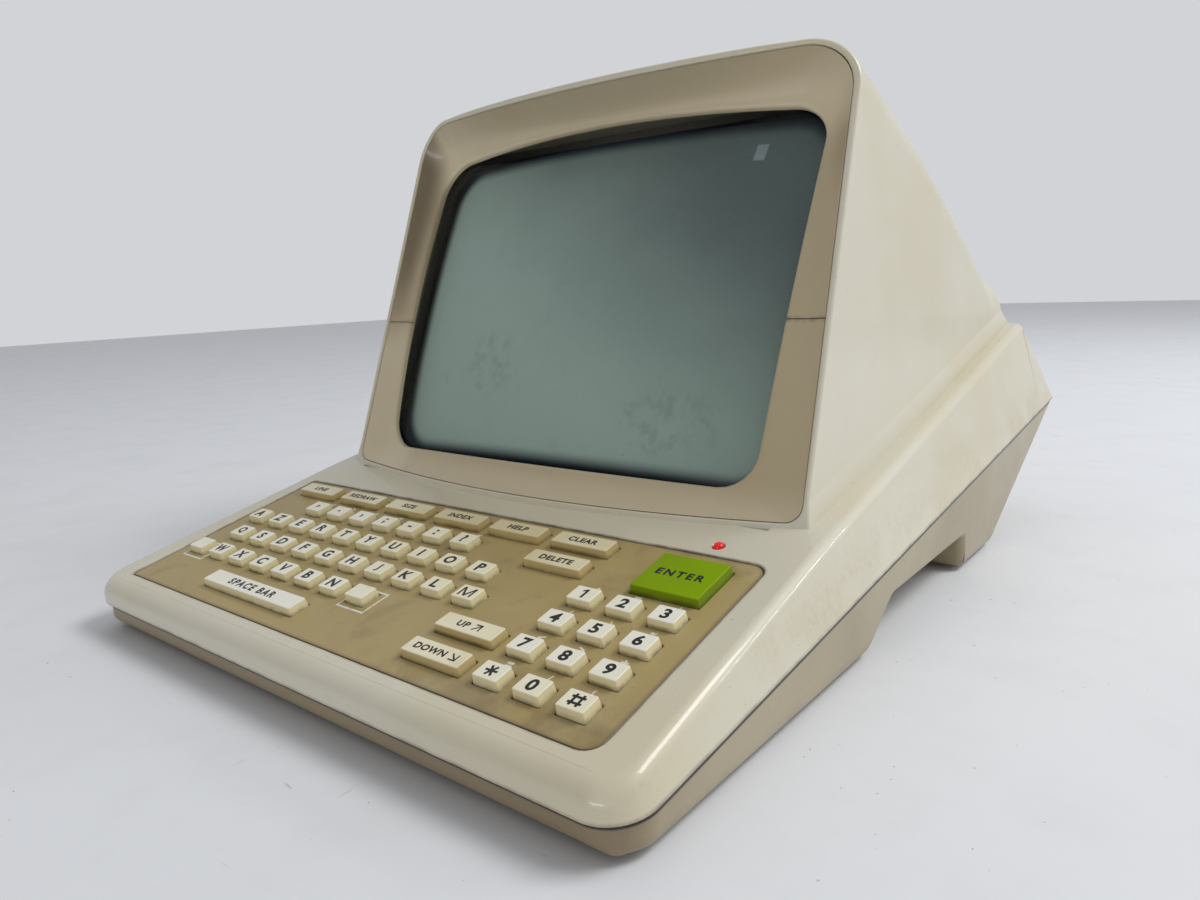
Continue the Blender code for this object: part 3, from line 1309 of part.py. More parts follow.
def make_rear_controls(rear, finishes):
    """Power button with its switch, brightness knob with its dial, the socket and the two cord glands."""
    inside = -WALL - SEAT_GAP
    half_x, half_y = POWER_WIDTH / 2, POWER_HEIGHT / 2
    flange_x, flange_y = half_x + POWER_FLANGE, half_y + POWER_FLANGE
    flange_low = inside - POWER_FLANGE
    levels = (
        (flange_x, flange_y, flange_low), (flange_x, flange_y, inside), (half_x, half_y, inside),
        (half_x, half_y, POWER_RISE - KEY_EDGE), (half_x - KEY_EDGE, half_y - KEY_EDGE, POWER_RISE),
    )
    corners = ((-1, -1), (1, -1), (1, 1), (-1, 1))
    rings = [[(a * i, b * j, z) for i, j in corners] for a, b, z in levels]
    piece("power_button", loft(rings), finishes["black"], rear, (POWER_X, 0, 0))
    top = flange_low - POWER_TRAVEL - SEAT_GAP
    across, high = SWITCH_WIDTH / 2, SWITCH_HEIGHT / 2
    body = block((-across, -high, top - SWITCH_DEPTH), (across, high, inside))
    switch = piece("power_switch", body, finishes["black"], rear, (POWER_X, 0, 0))
    gap_x, gap_y = flange_x + SEAT_GAP, flange_y + SEAT_GAP
    well = block((POWER_X - gap_x, -gap_y, top), (POWER_X + gap_x, gap_y, OVERRUN))
    cut(switch, cutter("switch_well", well, rear))
    make_brightness_control(rear, inside, finishes)
    wide = SOCKET_RADIUS + SOCKET_FLANGE
    bore = SOCKET_RADIUS - SOCKET_FLANGE
    socket = [
        (bore, -SOCKET_LENGTH), (SOCKET_RADIUS, -SOCKET_LENGTH), (SOCKET_RADIUS, SEAT_GAP), (wide, SEAT_GAP),
        (wide, SOCKET_FLANGE), (bore, SOCKET_FLANGE), (bore, SOCKET_FLANGE - SOCKET_RECESS),
    ]
    piece("accessory_socket", turned(socket), finishes["black"], rear, (SOCKET_X, 0, 0), smooth=SMOOTH)
    deep = inside - GLAND_RISE / 2
    gland = [
        (GLAND_BORE, GLAND_RISE), (GLAND_BORE, deep), (GLAND_FLANGE, deep), (GLAND_FLANGE, inside),
        (GLAND_NECK, inside), (GLAND_NECK, SEAT_GAP), (GLAND_FLANGE, SEAT_GAP),
        (GLAND_FLANGE, GLAND_RISE / 2), (GLAND_NECK, GLAND_RISE),
    ]
    for name, x in (("mains_gland", MAINS_GLAND_X), ("phone_gland", PHONE_GLAND_X)):
        piece(name, turned_ring(gland), finishes["rubber"], rear, (x, 0, 0), smooth=SMOOTH)


def make_brightness_control(rear, inside, finishes):
    """A ribbed knob on a shaft, and the potentiometer body the shaft turns in."""
    count = 2 * KNOB_RIB_COUNT
    radii = [KNOB_RADIUS if i % 2 else KNOB_RADIUS * KNOB_RIB_SHARE for i in range(count)]
    edge = [(r * math.cos(i * math.tau / count), r * math.sin(i * math.tau / count)) for i, r in enumerate(radii)]
    ribbed = loft([at_height(edge, SEAT_GAP), at_height(edge, KNOB_RISE)])
    place = (KNOB_X, 0, 0)
    knob = piece("brightness_knob", ribbed, finishes["black"], rear, place)
    tip = inside - DIAL_BODY_DEPTH / 2
    shaft = turned([(KNOB_SHAFT_RADIUS, tip), (KNOB_SHAFT_RADIUS, KNOB_RISE / 2)])
    join(knob, cutter("knob_shaft", shaft, rear, place))
    can = turned([(DIAL_BODY_RADIUS, inside - DIAL_BODY_DEPTH), (DIAL_BODY_RADIUS, inside)])
    dial = piece("brightness_dial", can, finishes["steel"], rear, place, smooth=SMOOTH)
    bore = KNOB_SHAFT_RADIUS + SEAT_GAP
    cut(dial, cutter("dial_bore", turned([(bore, tip - SEAT_GAP), (bore, OVERRUN)]), rear, place))


def make_feet_and_screws(root, finishes):
    """Four stick-on pads, and four screws that hold the two shells together from below."""
    for number, (x, y) in enumerate(pad_places(), 1):
        top = LOWER_GROUND_CLEARANCE - SEAT_GAP
        pad = turned([(PAD_RADIUS, 0.0), (PAD_RADIUS, top)])
        piece(f"rubber_pad_{number}", pad, finishes["rubber"], root, (x, y, 0), smooth=SMOOTH)
    for number, (x, y) in enumerate(screw_places(), 1):
        seat = screw_seat(y) - SEAT_GAP
        tip = parting_height(y) + SCREW_GRIP - 2 * SEAT_GAP
        screw = turned([
            (SCREW_HEAD_RADIUS, seat - SCREW_HEAD_HEIGHT), (SCREW_HEAD_RADIUS, seat), (SCREW_RADIUS, seat),
            (SCREW_RADIUS, tip - SCREW_POINT), (SCREW_RADIUS / 2, tip),
        ])
        piece(f"case_screw_{number}", screw, finishes["steel"], root, (x, y, 0), smooth=SMOOTH)


def main():
    clear_scene()
    finishes = make_case_finishes()
    root = frame("case_frame", (0, -BODY_LENGTH / 2, 0), (0, 0, 0))
    deck = frame("deck_frame", (0, PLATE_SETBACK, deck_height(PLATE_SETBACK)), (DECK_SLOPE, 0, 0), root)
    screen = frame("screen_frame", (0, RIM_SETBACK, RIM_FOOT_HEIGHT), (math.pi / 2 - RIM_TILT, 0, 0), root)
    tube = frame("tube_frame", (0, WINDOW_CENTRE, face_rise()), (-WINDOW_LEAN, 0, 0), screen)
    rear_y = rear_top_setback(0.0) + (BODY_LENGTH - rear_top_setback(0.0)) * REAR_ROW_SHARE
    rear = frame("rear_frame", (0, rear_y, rear_face_height(rear_y)), (REAR_FACE_SLOPE, 0, math.pi), root)
    make_upper_shell(root, deck, screen, tube, rear, finishes["ivory"])
    make_lower_shell(root, finishes["tan"])
    make_keyboard(deck, finishes)
    make_status_led(deck, finishes["lamp"])
    make_bezel(screen, finishes["mocha"])
    neck_start, neck_end = make_picture_tube(tube, finishes["glass"])
    make_tube_fittings(tube, neck_start, neck_end, finishes)
    make_electronics(root, finishes)
    make_rear_controls(rear, finishes)
    make_feet_and_screws(root, finishes)


main()
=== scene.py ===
"""Desk-top computer terminal: the looks of every piece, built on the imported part.

Sizes are in millimetres. Unless a comment says otherwise y runs back from the front edge of the case,
x is 0 on its middle line and z is the height above the table. Pieces are turned into metres as they are made.
"""

import math
import bmesh
import bpy
import numpy as np
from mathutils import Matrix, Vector


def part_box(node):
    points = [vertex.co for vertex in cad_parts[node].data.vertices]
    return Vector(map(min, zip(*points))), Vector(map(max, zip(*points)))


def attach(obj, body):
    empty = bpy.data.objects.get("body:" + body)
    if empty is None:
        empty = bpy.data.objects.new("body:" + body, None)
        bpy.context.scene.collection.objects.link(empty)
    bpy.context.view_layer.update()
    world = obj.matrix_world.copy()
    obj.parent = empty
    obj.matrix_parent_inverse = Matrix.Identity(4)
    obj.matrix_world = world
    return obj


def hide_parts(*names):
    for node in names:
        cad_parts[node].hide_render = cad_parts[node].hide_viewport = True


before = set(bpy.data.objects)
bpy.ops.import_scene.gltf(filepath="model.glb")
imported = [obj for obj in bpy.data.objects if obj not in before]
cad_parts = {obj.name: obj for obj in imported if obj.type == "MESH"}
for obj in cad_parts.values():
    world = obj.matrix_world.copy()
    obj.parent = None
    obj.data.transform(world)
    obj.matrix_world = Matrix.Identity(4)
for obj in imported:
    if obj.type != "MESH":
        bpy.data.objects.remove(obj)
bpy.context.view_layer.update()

# Case moulding: the deck, the shoulders and the sloping back of the upper shell. It is injection moulded in
# cream ABS with a fine eroded grain, and meets the lower shell on a parting line that rises to the rear.
shell_low, shell_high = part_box("upper_shell")
CASE_WIDTH = 1000 * (shell_high.x - shell_low.x)
CASE_LENGTH = 1000 * (shell_high.y - shell_low.y)
DECK_FRONT_HEIGHT = 18.7
DECK_SLOPE = math.radians(13.5)
CREASE_SETBACK, CREASE_RADIUS = 101.6, 60.0
SHOULDER_SLOPE = math.radians(12)
BACK_SLOPE = math.radians(58.5)
BACK_EDGE_RADIUS = 3.0
PARTING_FRONT, PARTING_REAR = 10.7, 53.7
BACK_TIP = 0.8
SIDE_DRAFT = 0.25
PLAN_CORNER_RADIUS = 12.0
NOSE_RADIUS = 8.0
RIDGE_RADIUS = 4.0
CASE_WALL, CUT_OVERRUN = 2.6, 5.0
EDGE_STEPS = 8
CREAM = (0.655, 0.615, 0.490, 1)
YELLOWED = (0.600, 0.525, 0.345, 1)
GRIME = (0.155, 0.115, 0.065, 1)
STAINED = (0.470, 0.380, 0.215, 1)


class Plane:
    """A working plane on the case: x across, y at an angle above the table, and its outward normal."""

    def __init__(self, origin, angle, across=1):
        self.origin = np.array(origin, float)
        x, y = np.array((across, 0, 0)), np.array((0, math.cos(angle), math.sin(angle)))
        self.axes = np.stack((x, y, np.cross(x, y)))

    def out(self, points):
        return np.asarray(points, float) @ self.axes + self.origin

    def turn(self, directions):
        return np.asarray(directions, float) @ self.axes


def unit(vectors):
    return vectors / np.linalg.norm(vectors, axis=-1, keepdims=True)


def fillet(edge, before, after, radius, steps=EDGE_STEPS):
    """An arc that rounds an edge where two faces meet. Its centre is the edge less the radius times the sum
    of both normals over one plus their product, and its points stand off that centre by the turning normal."""
    share = np.linspace(0, 1, steps + 1).reshape(-1, *[1] * np.ndim(edge))
    normal = unit(before * (1 - share) + after * share)
    product = np.sum(before * after, axis=-1, keepdims=True)
    return edge - radius * (before + after) / (1 + product) + radius * normal


def sheet(grid, close=False):
    """Vertices and quads of a grid of points. A closed one joins its last column to its first."""
    rows, columns = grid.shape[:2]
    index = np.arange(rows * columns).reshape(rows, columns)
    if close:
        index = np.concatenate((index, index[:, :1]), axis=1)
    quads = np.stack((index[:-1, :-1], index[:-1, 1:], index[1:, 1:], index[1:, :-1]), axis=-1)
    return grid.reshape(-1, 3), quads.reshape(-1, 4).tolist()


def solid(name, *parts, core=None):
    """An object from lists of vertices and faces, welded where they touch. Its faces turn away from its core,
    a point that is its middle unless an open piece gives another."""
    vertices, faces, count = [], [], 0
    for points, polygons in parts:
        vertices.append(np.asarray(points, float))
        faces += [[corner + count for corner in polygon] for polygon in polygons]
        count += len(points)
    points = (np.concatenate(vertices) - (0, CASE_LENGTH / 2, 0)) / 1000
    mesh = bpy.data.meshes.new(name)
    mesh.from_pydata(points.tolist(), [], faces)
    builder = bmesh.new()
    builder.from_mesh(mesh)
    bmesh.ops.remove_doubles(builder, verts=builder.verts, dist=1e-6)
    bmesh.ops.dissolve_degenerate(builder, edges=builder.edges, dist=1e-7)
    bmesh.ops.recalc_face_normals(builder, faces=builder.faces)
    builder.to_mesh(mesh)
    builder.free()
    centres, normals, areas = (np.zeros(len(mesh.polygons) * size) for size in (3, 3, 1))
    mesh.polygons.foreach_get("center", centres)
    mesh.polygons.foreach_get("normal", normals)
    mesh.polygons.foreach_get("area", areas)
    core = points.mean(0) if core is None else np.array(core) / 1000
    arms = centres.reshape(-1, 3) - core
    if np.sum(arms * normals.reshape(-1, 3) * areas[:, None]) < 0:
        mesh.flip_normals()
    piece = bpy.data.objects.new(name, mesh)
    bpy.context.scene.collection.objects.link(piece)
    return piece


def stack(rings):
    """Vertices and faces of closed rings skinned in order, with a flat face over each end."""
    points, quads = sheet(np.asarray(rings, float), close=True)
    count = len(rings[0])
    return points, quads + [list(range(count)), list(range(len(points) - count, len(points)))]


def carve(piece, tool, operation="DIFFERENCE"):
    modifier = piece.modifiers.new(tool.name, "BOOLEAN")
    modifier.operation, modifier.object, modifier.solver = operation, tool, "EXACT"


def settle(piece, crease=32):
    """Keeps what the modifiers made, drops their tools, and shades smooth all but edges past the crease."""
    tools = [modifier.object for modifier in piece.modifiers if modifier.type == "BOOLEAN"]
    shaped = piece.evaluated_get(bpy.context.evaluated_depsgraph_get())
    made = bpy.data.meshes.new_from_object(shaped)
    piece.modifiers.clear()
    piece.data = made
    for tool in set(tools):
        bpy.data.objects.remove(tool)
    made.shade_smooth()
    made.set_sharp_from_angle(angle=math.radians(crease))
    weighted = piece.modifiers.new("flat faces", "WEIGHTED_NORMAL")
    weighted.keep_sharp, weighted.weight = True, 100
    return piece


def fit_out(piece, material, body, slot, *nodes):
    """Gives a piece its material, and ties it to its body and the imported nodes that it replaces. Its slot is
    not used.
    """
    piece.data.materials.append(material)
    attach(piece, body)
    if nodes:
        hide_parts(*nodes)


def from_case_middle(point):
    """A point moved from the front edge of the case to the middle of its length, where the object's zero is."""
    return tuple(np.array(point) - (0, CASE_LENGTH / 2, 0))


def deck_height(y):
    return DECK_FRONT_HEIGHT + y * math.tan(DECK_SLOPE)


def shoulder_height(y):
    return deck_height(CREASE_SETBACK) + (y - CREASE_SETBACK) * math.tan(SHOULDER_SLOPE)


def parting_height(y):
    return PARTING_FRONT + (PARTING_REAR - PARTING_FRONT) * y / CASE_LENGTH


def back_height(y, inset=0):
    return PARTING_REAR + BACK_TIP + (CASE_LENGTH - y) * math.tan(BACK_SLOPE) - inset / math.cos(BACK_SLOPE)


def rounded_path(corners, radii, facing=1):
    """Points and normals along a bent line, with an arc at each inner corner. A negative radius rounds a
    hollow corner, and facing is 1 for normals to the left of the line and -1 for normals to its right."""
    corners = np.array(corners, float)
    along = unit(np.diff(corners, axis=0))
    normals = facing * np.column_stack((-along[:, 1], along[:, 0]))
    points, faced = [corners[:1]], [normals[:1]]
    for corner, radius, before, after in zip(corners[1:-1], radii, normals, normals[1:]):
        arc = fillet(corner, before, after, radius)
        points.append(arc)
        faced.append(unit(before + np.linspace(0, 1, len(arc))[:, None] * (after - before)))
    return np.concatenate((*points, corners[-1:])), np.concatenate((*faced, normals[-1:]))


def moulding(edge, wall, lid, radius, foot):
    """A shallow box from the right half of its rim. Each ring runs from the left rear round the front to the
    right rear: first the foot of the wall, then the arc into the lid. Rungs close lid, foot and tip."""
    rings = np.concatenate((foot[None], fillet(edge, wall, lid, radius)))
    rings = np.concatenate((rings[:, ::-1] * (-1, 1, 1), rings), axis=1)
    points, faces = sheet(rings)
    levels, count = rings.shape[:2]
    half = count // 2
    for row in (0, (levels - 1) * count):
        left, right = row + half - 1 - np.arange(half), row + half + np.arange(half)
        faces += np.column_stack((left[:-1], right[:-1], right[1:], left[1:])).tolist()
    tip = np.arange(levels) * count
    faces += np.column_stack((tip[:-1], tip[1:], tip[1:] + count - 1, tip[:-1] + count - 1)).tolist()
    return points, faces


def front_corner(y, setback=0.0, inset=0.0):
    """How far the corner of the case, an arc in plan, draws the side in at y."""
    radius = PLAN_CORNER_RADIUS - inset
    reach = np.clip(setback + radius - y, 0, radius)
    return radius - np.sqrt(radius**2 - reach**2)


def corner_stations(setback=0.0, inset=0.0):
    angles = np.linspace(0, math.pi / 2, 13)
    return setback + (PLAN_CORNER_RADIUS - inset) * (1 - np.cos(angles))


def shoulder_end(inset=0.0):
    rise = back_height(0, inset) - shoulder_height(0) + inset / math.cos(SHOULDER_SLOPE)
    return rise / (math.tan(SHOULDER_SLOPE) + math.tan(BACK_SLOPE))


def case_skin(inset=0.0, drop=0.0):
    """The case above its parting line, or its hollow: inset from every face, with its foot dropped."""
    deck_drop, shoulder_drop = inset / math.cos(DECK_SLOPE), inset / math.cos(SHOULDER_SLOPE)
    ridge = shoulder_end(inset)
    end = CASE_LENGTH - inset / math.sin(BACK_SLOPE)
    profile, tops = rounded_path(
        ((inset, deck_height(inset) - deck_drop),
         (CREASE_SETBACK, deck_height(CREASE_SETBACK) - shoulder_drop),
         (ridge, shoulder_height(ridge) - shoulder_drop), (end, back_height(end, inset))),
        (CREASE_RADIUS, BACK_EDGE_RADIUS))
    stations = np.union1d(corner_stations(inset, inset), profile[:, 0])
    z = np.interp(stations, *profile.T)
    lid = np.column_stack([0 * z] + [np.interp(stations, profile[:, 0], part) for part in tops.T])
    height = z - parting_height(stations)
    angle = np.arccos(np.clip(1 - (stations - inset) / (PLAN_CORNER_RADIUS - inset), 0, 1))
    draft = SIDE_DRAFT * np.sin(angle)
    side = CASE_WIDTH / 2 - inset - front_corner(stations, inset, inset)
    wall = unit(np.column_stack((np.sin(angle), -np.cos(angle), draft)))
    edge = np.column_stack((side - draft * height, stations, z))
    foot = np.column_stack((side, stations, parting_height(stations) - drop))
    radius = RIDGE_RADIUS + (NOSE_RADIUS - RIDGE_RADIUS) * np.cos(angle) ** 2 - inset
    return moulding(edge, wall, unit(lid), np.minimum(radius, 0.8 * np.maximum(height, 0.1))[:, None], foot)


class Wire:
    """One output in a material's node tree. Sums of wires and numbers lay down the matching Math nodes."""

    def __init__(self, tree, socket=None):
        self.tree, self.socket = tree, socket

    def node(self, kind, settings=(), sockets=(), out=0):
        made = self.tree.nodes.new("ShaderNode" + kind)
        for name, value in dict(settings).items():
            setattr(made, name, value)
        for name, value in dict(sockets).items():
            if isinstance(value, Wire):
                self.tree.links.new(value.socket, made.inputs[name])
            else:
                made.inputs[name].default_value = value
        return Wire(self.tree, made.outputs[out])

    def maths(self, operation, *values):
        return self.node("Math", {"operation": operation}, enumerate(values))

    def __add__(self, other):
        return self.maths("ADD", self, other)

    def __sub__(self, other):
        return self.maths("SUBTRACT", self, other)

    def __rsub__(self, other):
        return self.maths("SUBTRACT", other, self)

    def __mul__(self, other):
        return self.maths("MULTIPLY", self, other)

    def __truediv__(self, other):
        return self.maths("DIVIDE", self, other)

    def __pow__(self, other):
        return self.maths("POWER", self, other)

    def __abs__(self):
        return self.maths("ABSOLUTE", self)

    __radd__, __rmul__ = __add__, __mul__

    def most(self, other):
        return self.maths("MAXIMUM", self, other)

    def least(self, other):
        return self.maths("MINIMUM", self, other)

    def near(self, pitch):
        """How far a length is from the nearest multiple of a pitch."""
        return self.maths("PINGPONG", self, pitch / 2)

    def wave(self):
        return self.maths("SINE", self)

    def rise(self, low, high):
        """0 below low, 1 above high, with a smooth step between."""
        levels = {"Value": self, "From Min": low, "From Max": high}
        return self.node("MapRange", {"interpolation_type": "SMOOTHSTEP"}, levels)

    def fall(self, low, high):
        return 1 - self.rise(low, high)

    def parts(self):
        return [self.node("SeparateXYZ", (), {0: self}, out=axis) for axis in range(3)]

    def stretched(self, x, y, z):
        return self.node("VectorMath", {"operation": "MULTIPLY"}, {0: self, 1: (x, y, z)})

    def noise(self, size, detail=2, roughness=0.5, bend=0):
        """Noise whose patches are about size millimetres across."""
        levels = {"Vector": self, "Scale": 1 / size, "Detail": detail}
        return self.node("TexNoise", (), {**levels, "Roughness": roughness, "Distortion": bend})

    def mixed(self, share, colour, other):
        return self.node("Mix", {"data_type": "RGBA"}, {0: share, 6: colour, 7: other}, out=2)


def coordinates(name):
    """A new material's own coordinates, in millimetres as the sizes above have them."""
    made = bpy.data.materials.new(name)
    made.use_nodes = True
    place = Wire(made.node_tree).node("TexCoord", out="Object")
    larger = place.node("VectorMath", {"operation": "SCALE"}, {0: place, "Scale": 1000})
    return made, larger.node("VectorMath", {"operation": "ADD"}, {0: larger, 1: (0, CASE_LENGTH / 2, 0)})


def surface(made, colour, roughness, height=None, depth=0.0, **levels):
    """Wires colour, roughness and a bump of this depth in millimetres into the material's shader."""
    shader = made.node_tree.nodes["Principled BSDF"]
    inputs = {"Base Color": colour, "Roughness": roughness}
    if height is not None:
        inputs["Normal"] = height.node("Bump", (), {"Height": height, "Distance": depth / 1000})
    inputs.update({name.replace("_", " "): value for name, value in levels.items()})
    for name, value in inputs.items():
        if isinstance(value, Wire):
            made.node_tree.links.new(value.socket, shader.inputs[name])
        else:
            shader.inputs[name].default_value = value
    return made


def plastic(name, colour, aged, roughness, grain=0.35, depth=0.012, marks=None, wear=0.06, **levels):
    """Moulded plastic: broad noise yellows it, dust and rubbed patches follow smaller noise, and the finest
    one is the grain of the mould. Marks, if given, lays further stains over the colour."""
    made, place = coordinates(name)
    cloud = place.noise(70, detail=3).rise(0.38, 0.68)
    tone = place.mixed(cloud * 0.55, colour, aged)
    smear = place.noise(16, detail=5, roughness=0.65, bend=0.6)
    tone = place.mixed(smear.rise(0.56, 0.80) * 0.22, tone, aged)
    dust = place.noise(1.1, detail=2).rise(0.735, 0.775)
    tone = place.mixed(dust * 0.45, tone, GRIME)
    if marks:
        tone = marks(place, tone)
    scuff = place.stretched(1, 0.12, 1).noise(0.9, detail=4, roughness=0.6).rise(0.60, 0.74)
    rough = roughness + (smear - 0.5) * wear * 2 + scuff * wear
    height = place.noise(grain, detail=3, roughness=0.6) + scuff * 0.25
    return surface(made, tone, rough, height, depth, **levels)


PLATE_SETBACK, PLATE_WIDTH, PLATE_DEPTH = 8.7, 220.7, 81.4
PLATE_RADII = (1.6, 5.2, 5.2, 1.6)
DECK = Plane((0, PLATE_SETBACK, deck_height(PLATE_SETBACK)), DECK_SLOPE)
back_middle = (shoulder_end() + CASE_LENGTH) / 2
BACK = Plane((0, back_middle, back_height(back_middle)), math.pi - BACK_SLOPE, across=-1)


def deck_place(y, z):
    """How far a place is up the deck from the keyboard plate's front edge, and how high above the deck."""
    along, up = y - PLATE_SETBACK, z - deck_height(PLATE_SETBACK)
    lean, rise = math.cos(DECK_SLOPE), math.sin(DECK_SLOPE)
    return along * lean + up * rise, up * lean - along * rise


def plate_edge(x, run):
    """How far a place on the deck lies past the keyboard plate's rounded outline, negative on the plate."""
    radius = PLATE_RADII[0] + x.rise(-1, 1) * (PLATE_RADII[1] - PLATE_RADII[0])
    across = abs(x) - PLATE_WIDTH / 2 + radius
    along = abs(run - PLATE_DEPTH / 2) - PLATE_DEPTH / 2 + radius
    return (across.most(0) ** 2 + along.most(0) ** 2) ** 0.5 + across.most(along).least(0) - radius


def deck_marks(place, tone):
    """Grime in the seam round the keyboard plate and along the parting line, and stains low on the sides."""
    x, y, z = place.parts()
    past = plate_edge(x, deck_place(y, z)[0])
    patchy = place.noise(9, detail=4, roughness=0.7).rise(0.35, 0.7)
    seam = past.fall(0.2, 1.3) * (0.25 + patchy * 0.6)
    tone = place.mixed(seam, tone, GRIME)
    halo = past.fall(1, 9) * y.fall(30, 60) * patchy
    tone = place.mixed(halo * 0.22, tone, YELLOWED)
    parting = z - parting_height(y)
    rubbed = abs(x).rise(118, 124) * parting.fall(4, 30) * place.noise(26, detail=2).rise(0.40, 0.60)
    rubbed = rubbed * (0.35 + 0.65 * place.noise(2.2, detail=5, roughness=0.75).rise(0.42, 0.66))
    tone = place.mixed(rubbed * 0.42, tone, STAINED)
    edge = parting.fall(0.15, 1.1) * (0.35 + patchy * 0.65)
    return place.mixed(edge * 0.7, tone, GRIME)


cream = plastic("cream_shell", CREAM, YELLOWED, 0.40, depth=0.008, marks=deck_marks,
                Coat_Weight=0.45, Coat_Roughness=0.05)
case_moulding = solid("case_moulding", case_skin())
carve(case_moulding, solid("case_hollow", case_skin(CASE_WALL, CUT_OVERRUN)))

# Monitor housing: the hooded upper part of the same moulding, which holds the picture tube. A rounded frame
# runs round its opening, a sloped band carries its sides to the shoulders, and slots in its back let heat out.
RIM_SETBACK, RIM_FOOT_HEIGHT = 110.1, 44.2
RIM_TILT = math.radians(19.7)
RIM_HEIGHT, RIM_HALF_WIDTH = 159.2, 110.1
RIM_BOW_BOTTOM, RIM_BOW_TOP = 10.8, 16.3
RIM_WIDTH, RIM_DEPTH = 2.0, 12.0
RIM_INNER_RADIUS, RIM_OUTER_RADIUS = 0.7, 1.1
HOUSING_WALL, HOUSING_ROOT = 2.2, 14.0
CREST_SETBACK, CREST_HEIGHT = 157.5, 1000 * shell_high.z
TAIL_SETBACK, TAIL_HEIGHT = 336.0, 102.0
CREST_SWELL = 7.0
HOUSING_RADIUS = 18.0
SIDE_LEAN, SIDE_TAPER = 0.0247, 0.0129
BACK_STEP = 0.8
BAND_HEIGHT, BAND_HALF_WIDTH, BAND_LEDGE = 6.9, 111.2, 6.2
OPENING_FLOOR, OPENING_SAG = 2.0, 5.4
OPENING_TOP_RADIUS, OPENING_FOOT_RADIUS = 17.5, 5.0
VENT_COUNT, VENT_PITCH, VENT_WIDTH = 14, 10.5, 3.0
VENT_START, VENT_LENGTH = 232.0, 75.0
SCREEN = Plane((0, RIM_SETBACK, RIM_FOOT_HEIGHT), math.pi / 2 - RIM_TILT)


def rim_out(x, t):
    """How far the rim stands out of its own plane: a parabola across, deeper towards the hood."""
    bow = RIM_BOW_BOTTOM + (RIM_BOW_TOP - RIM_BOW_BOTTOM) * t / RIM_HEIGHT
    return bow * (1 - (x / RIM_HALF_WIDTH) ** 2)


def rim_facing(x, t):
    """The rim's outward normal, from the slopes of that parabola."""
    bow = RIM_BOW_BOTTOM + (RIM_BOW_TOP - RIM_BOW_BOTTOM) * t / RIM_HEIGHT
    across = -2 * bow * x / RIM_HALF_WIDTH**2
    up = (RIM_BOW_TOP - RIM_BOW_BOTTOM) / RIM_HEIGHT * (1 - (x / RIM_HALF_WIDTH) ** 2)
    return SCREEN.turn(unit(np.stack((-across, -up, np.ones_like(x)), axis=-1)))


def housing_top(y):
    """Crest of the housing: the chord from hood to tail, swelled by a parabola."""
    share = (y - CREST_SETBACK) / (TAIL_SETBACK - CREST_SETBACK)
    fall = (CREST_HEIGHT - TAIL_HEIGHT) * share
    return np.minimum(CREST_HEIGHT, CREST_HEIGHT - fall + 4 * CREST_SWELL * share * (1 - share))


def housing_half_width(y, z):
    return RIM_HALF_WIDTH - SIDE_LEAN * (z - RIM_FOOT_HEIGHT) - SIDE_TAPER * (y - RIM_SETBACK)


SIDE_SHARES = np.linspace(0, 1, 15)
ARC_ANGLES = np.linspace(0, math.pi / 2, 13)[1:]
TOP_SHARES = np.linspace(0, 1, 11)[1:]
BAND_POINTS = 4


def housing_section(y, inset=0.0):
    """Right half of the section at each column's own y: band at the foot, leaning side, arc and top."""
    ledge, top = shoulder_height(y), housing_top(y) - inset
    case_side = CASE_WIDTH / 2 - SIDE_DRAFT * (ledge - parting_height(y))
    band_foot = np.minimum(BAND_HALF_WIDTH, case_side - BAND_LEDGE)
    bend = ledge + BAND_HEIGHT
    head = housing_half_width(y, bend)
    radius = HOUSING_RADIUS - inset
    centre_z = np.maximum(top - radius, bend + 2)
    centre_x = housing_half_width(y, centre_z) - HOUSING_RADIUS
    columns = len(y)
    x, z = np.zeros(columns), np.zeros(columns)
    low = ledge - HOUSING_ROOT - 3 * inset
    knee = head + 0.1 * (band_foot - head)
    band = [(band_foot, low), (band_foot, ledge), (knee, bend - 0.6), (head, bend + 0.3)]
    for i, (band_x, band_z) in enumerate(band):
        x[i], z[i] = band_x[i], band_z[i]
    side = slice(BAND_POINTS, BAND_POINTS + len(SIDE_SHARES))
    z[side] = bend[side] + 1 + SIDE_SHARES * (centre_z - bend - 1)[side]
    x[side] = housing_half_width(y[side], z[side])
    arc = slice(side.stop, side.stop + len(ARC_ANGLES))
    x[arc] = centre_x[arc] + HOUSING_RADIUS * np.cos(ARC_ANGLES)
    z[arc] = centre_z[arc] + radius * np.sin(ARC_ANGLES)
    rest = slice(arc.stop, columns)
    x[rest] = centre_x[rest] * (1 - TOP_SHARES)
    z[rest] = centre_z[rest] + radius
    return x - inset * np.sign(x), z


COLUMNS = BAND_POINTS + len(SIDE_SHARES) + len(ARC_ANGLES) + len(TOP_SHARES)


def meet(rule, start, inset=0.0):
    """The y at which each column of the section meets a surface, found by repeated substitution."""
    y = np.full(COLUMNS, float(start))
    for _ in range(60):
        y = 0.5 * y + 0.5 * rule(*housing_section(y, inset))
    return y


def rim_y(x, z):
    t = (z - RIM_FOOT_HEIGHT) / math.cos(RIM_TILT)
    for _ in range(6):
        t = (z - RIM_FOOT_HEIGHT - rim_out(x, t) * math.sin(RIM_TILT)) / math.cos(RIM_TILT)
    return RIM_SETBACK + t * math.sin(RIM_TILT) - rim_out(x, t) * math.cos(RIM_TILT)


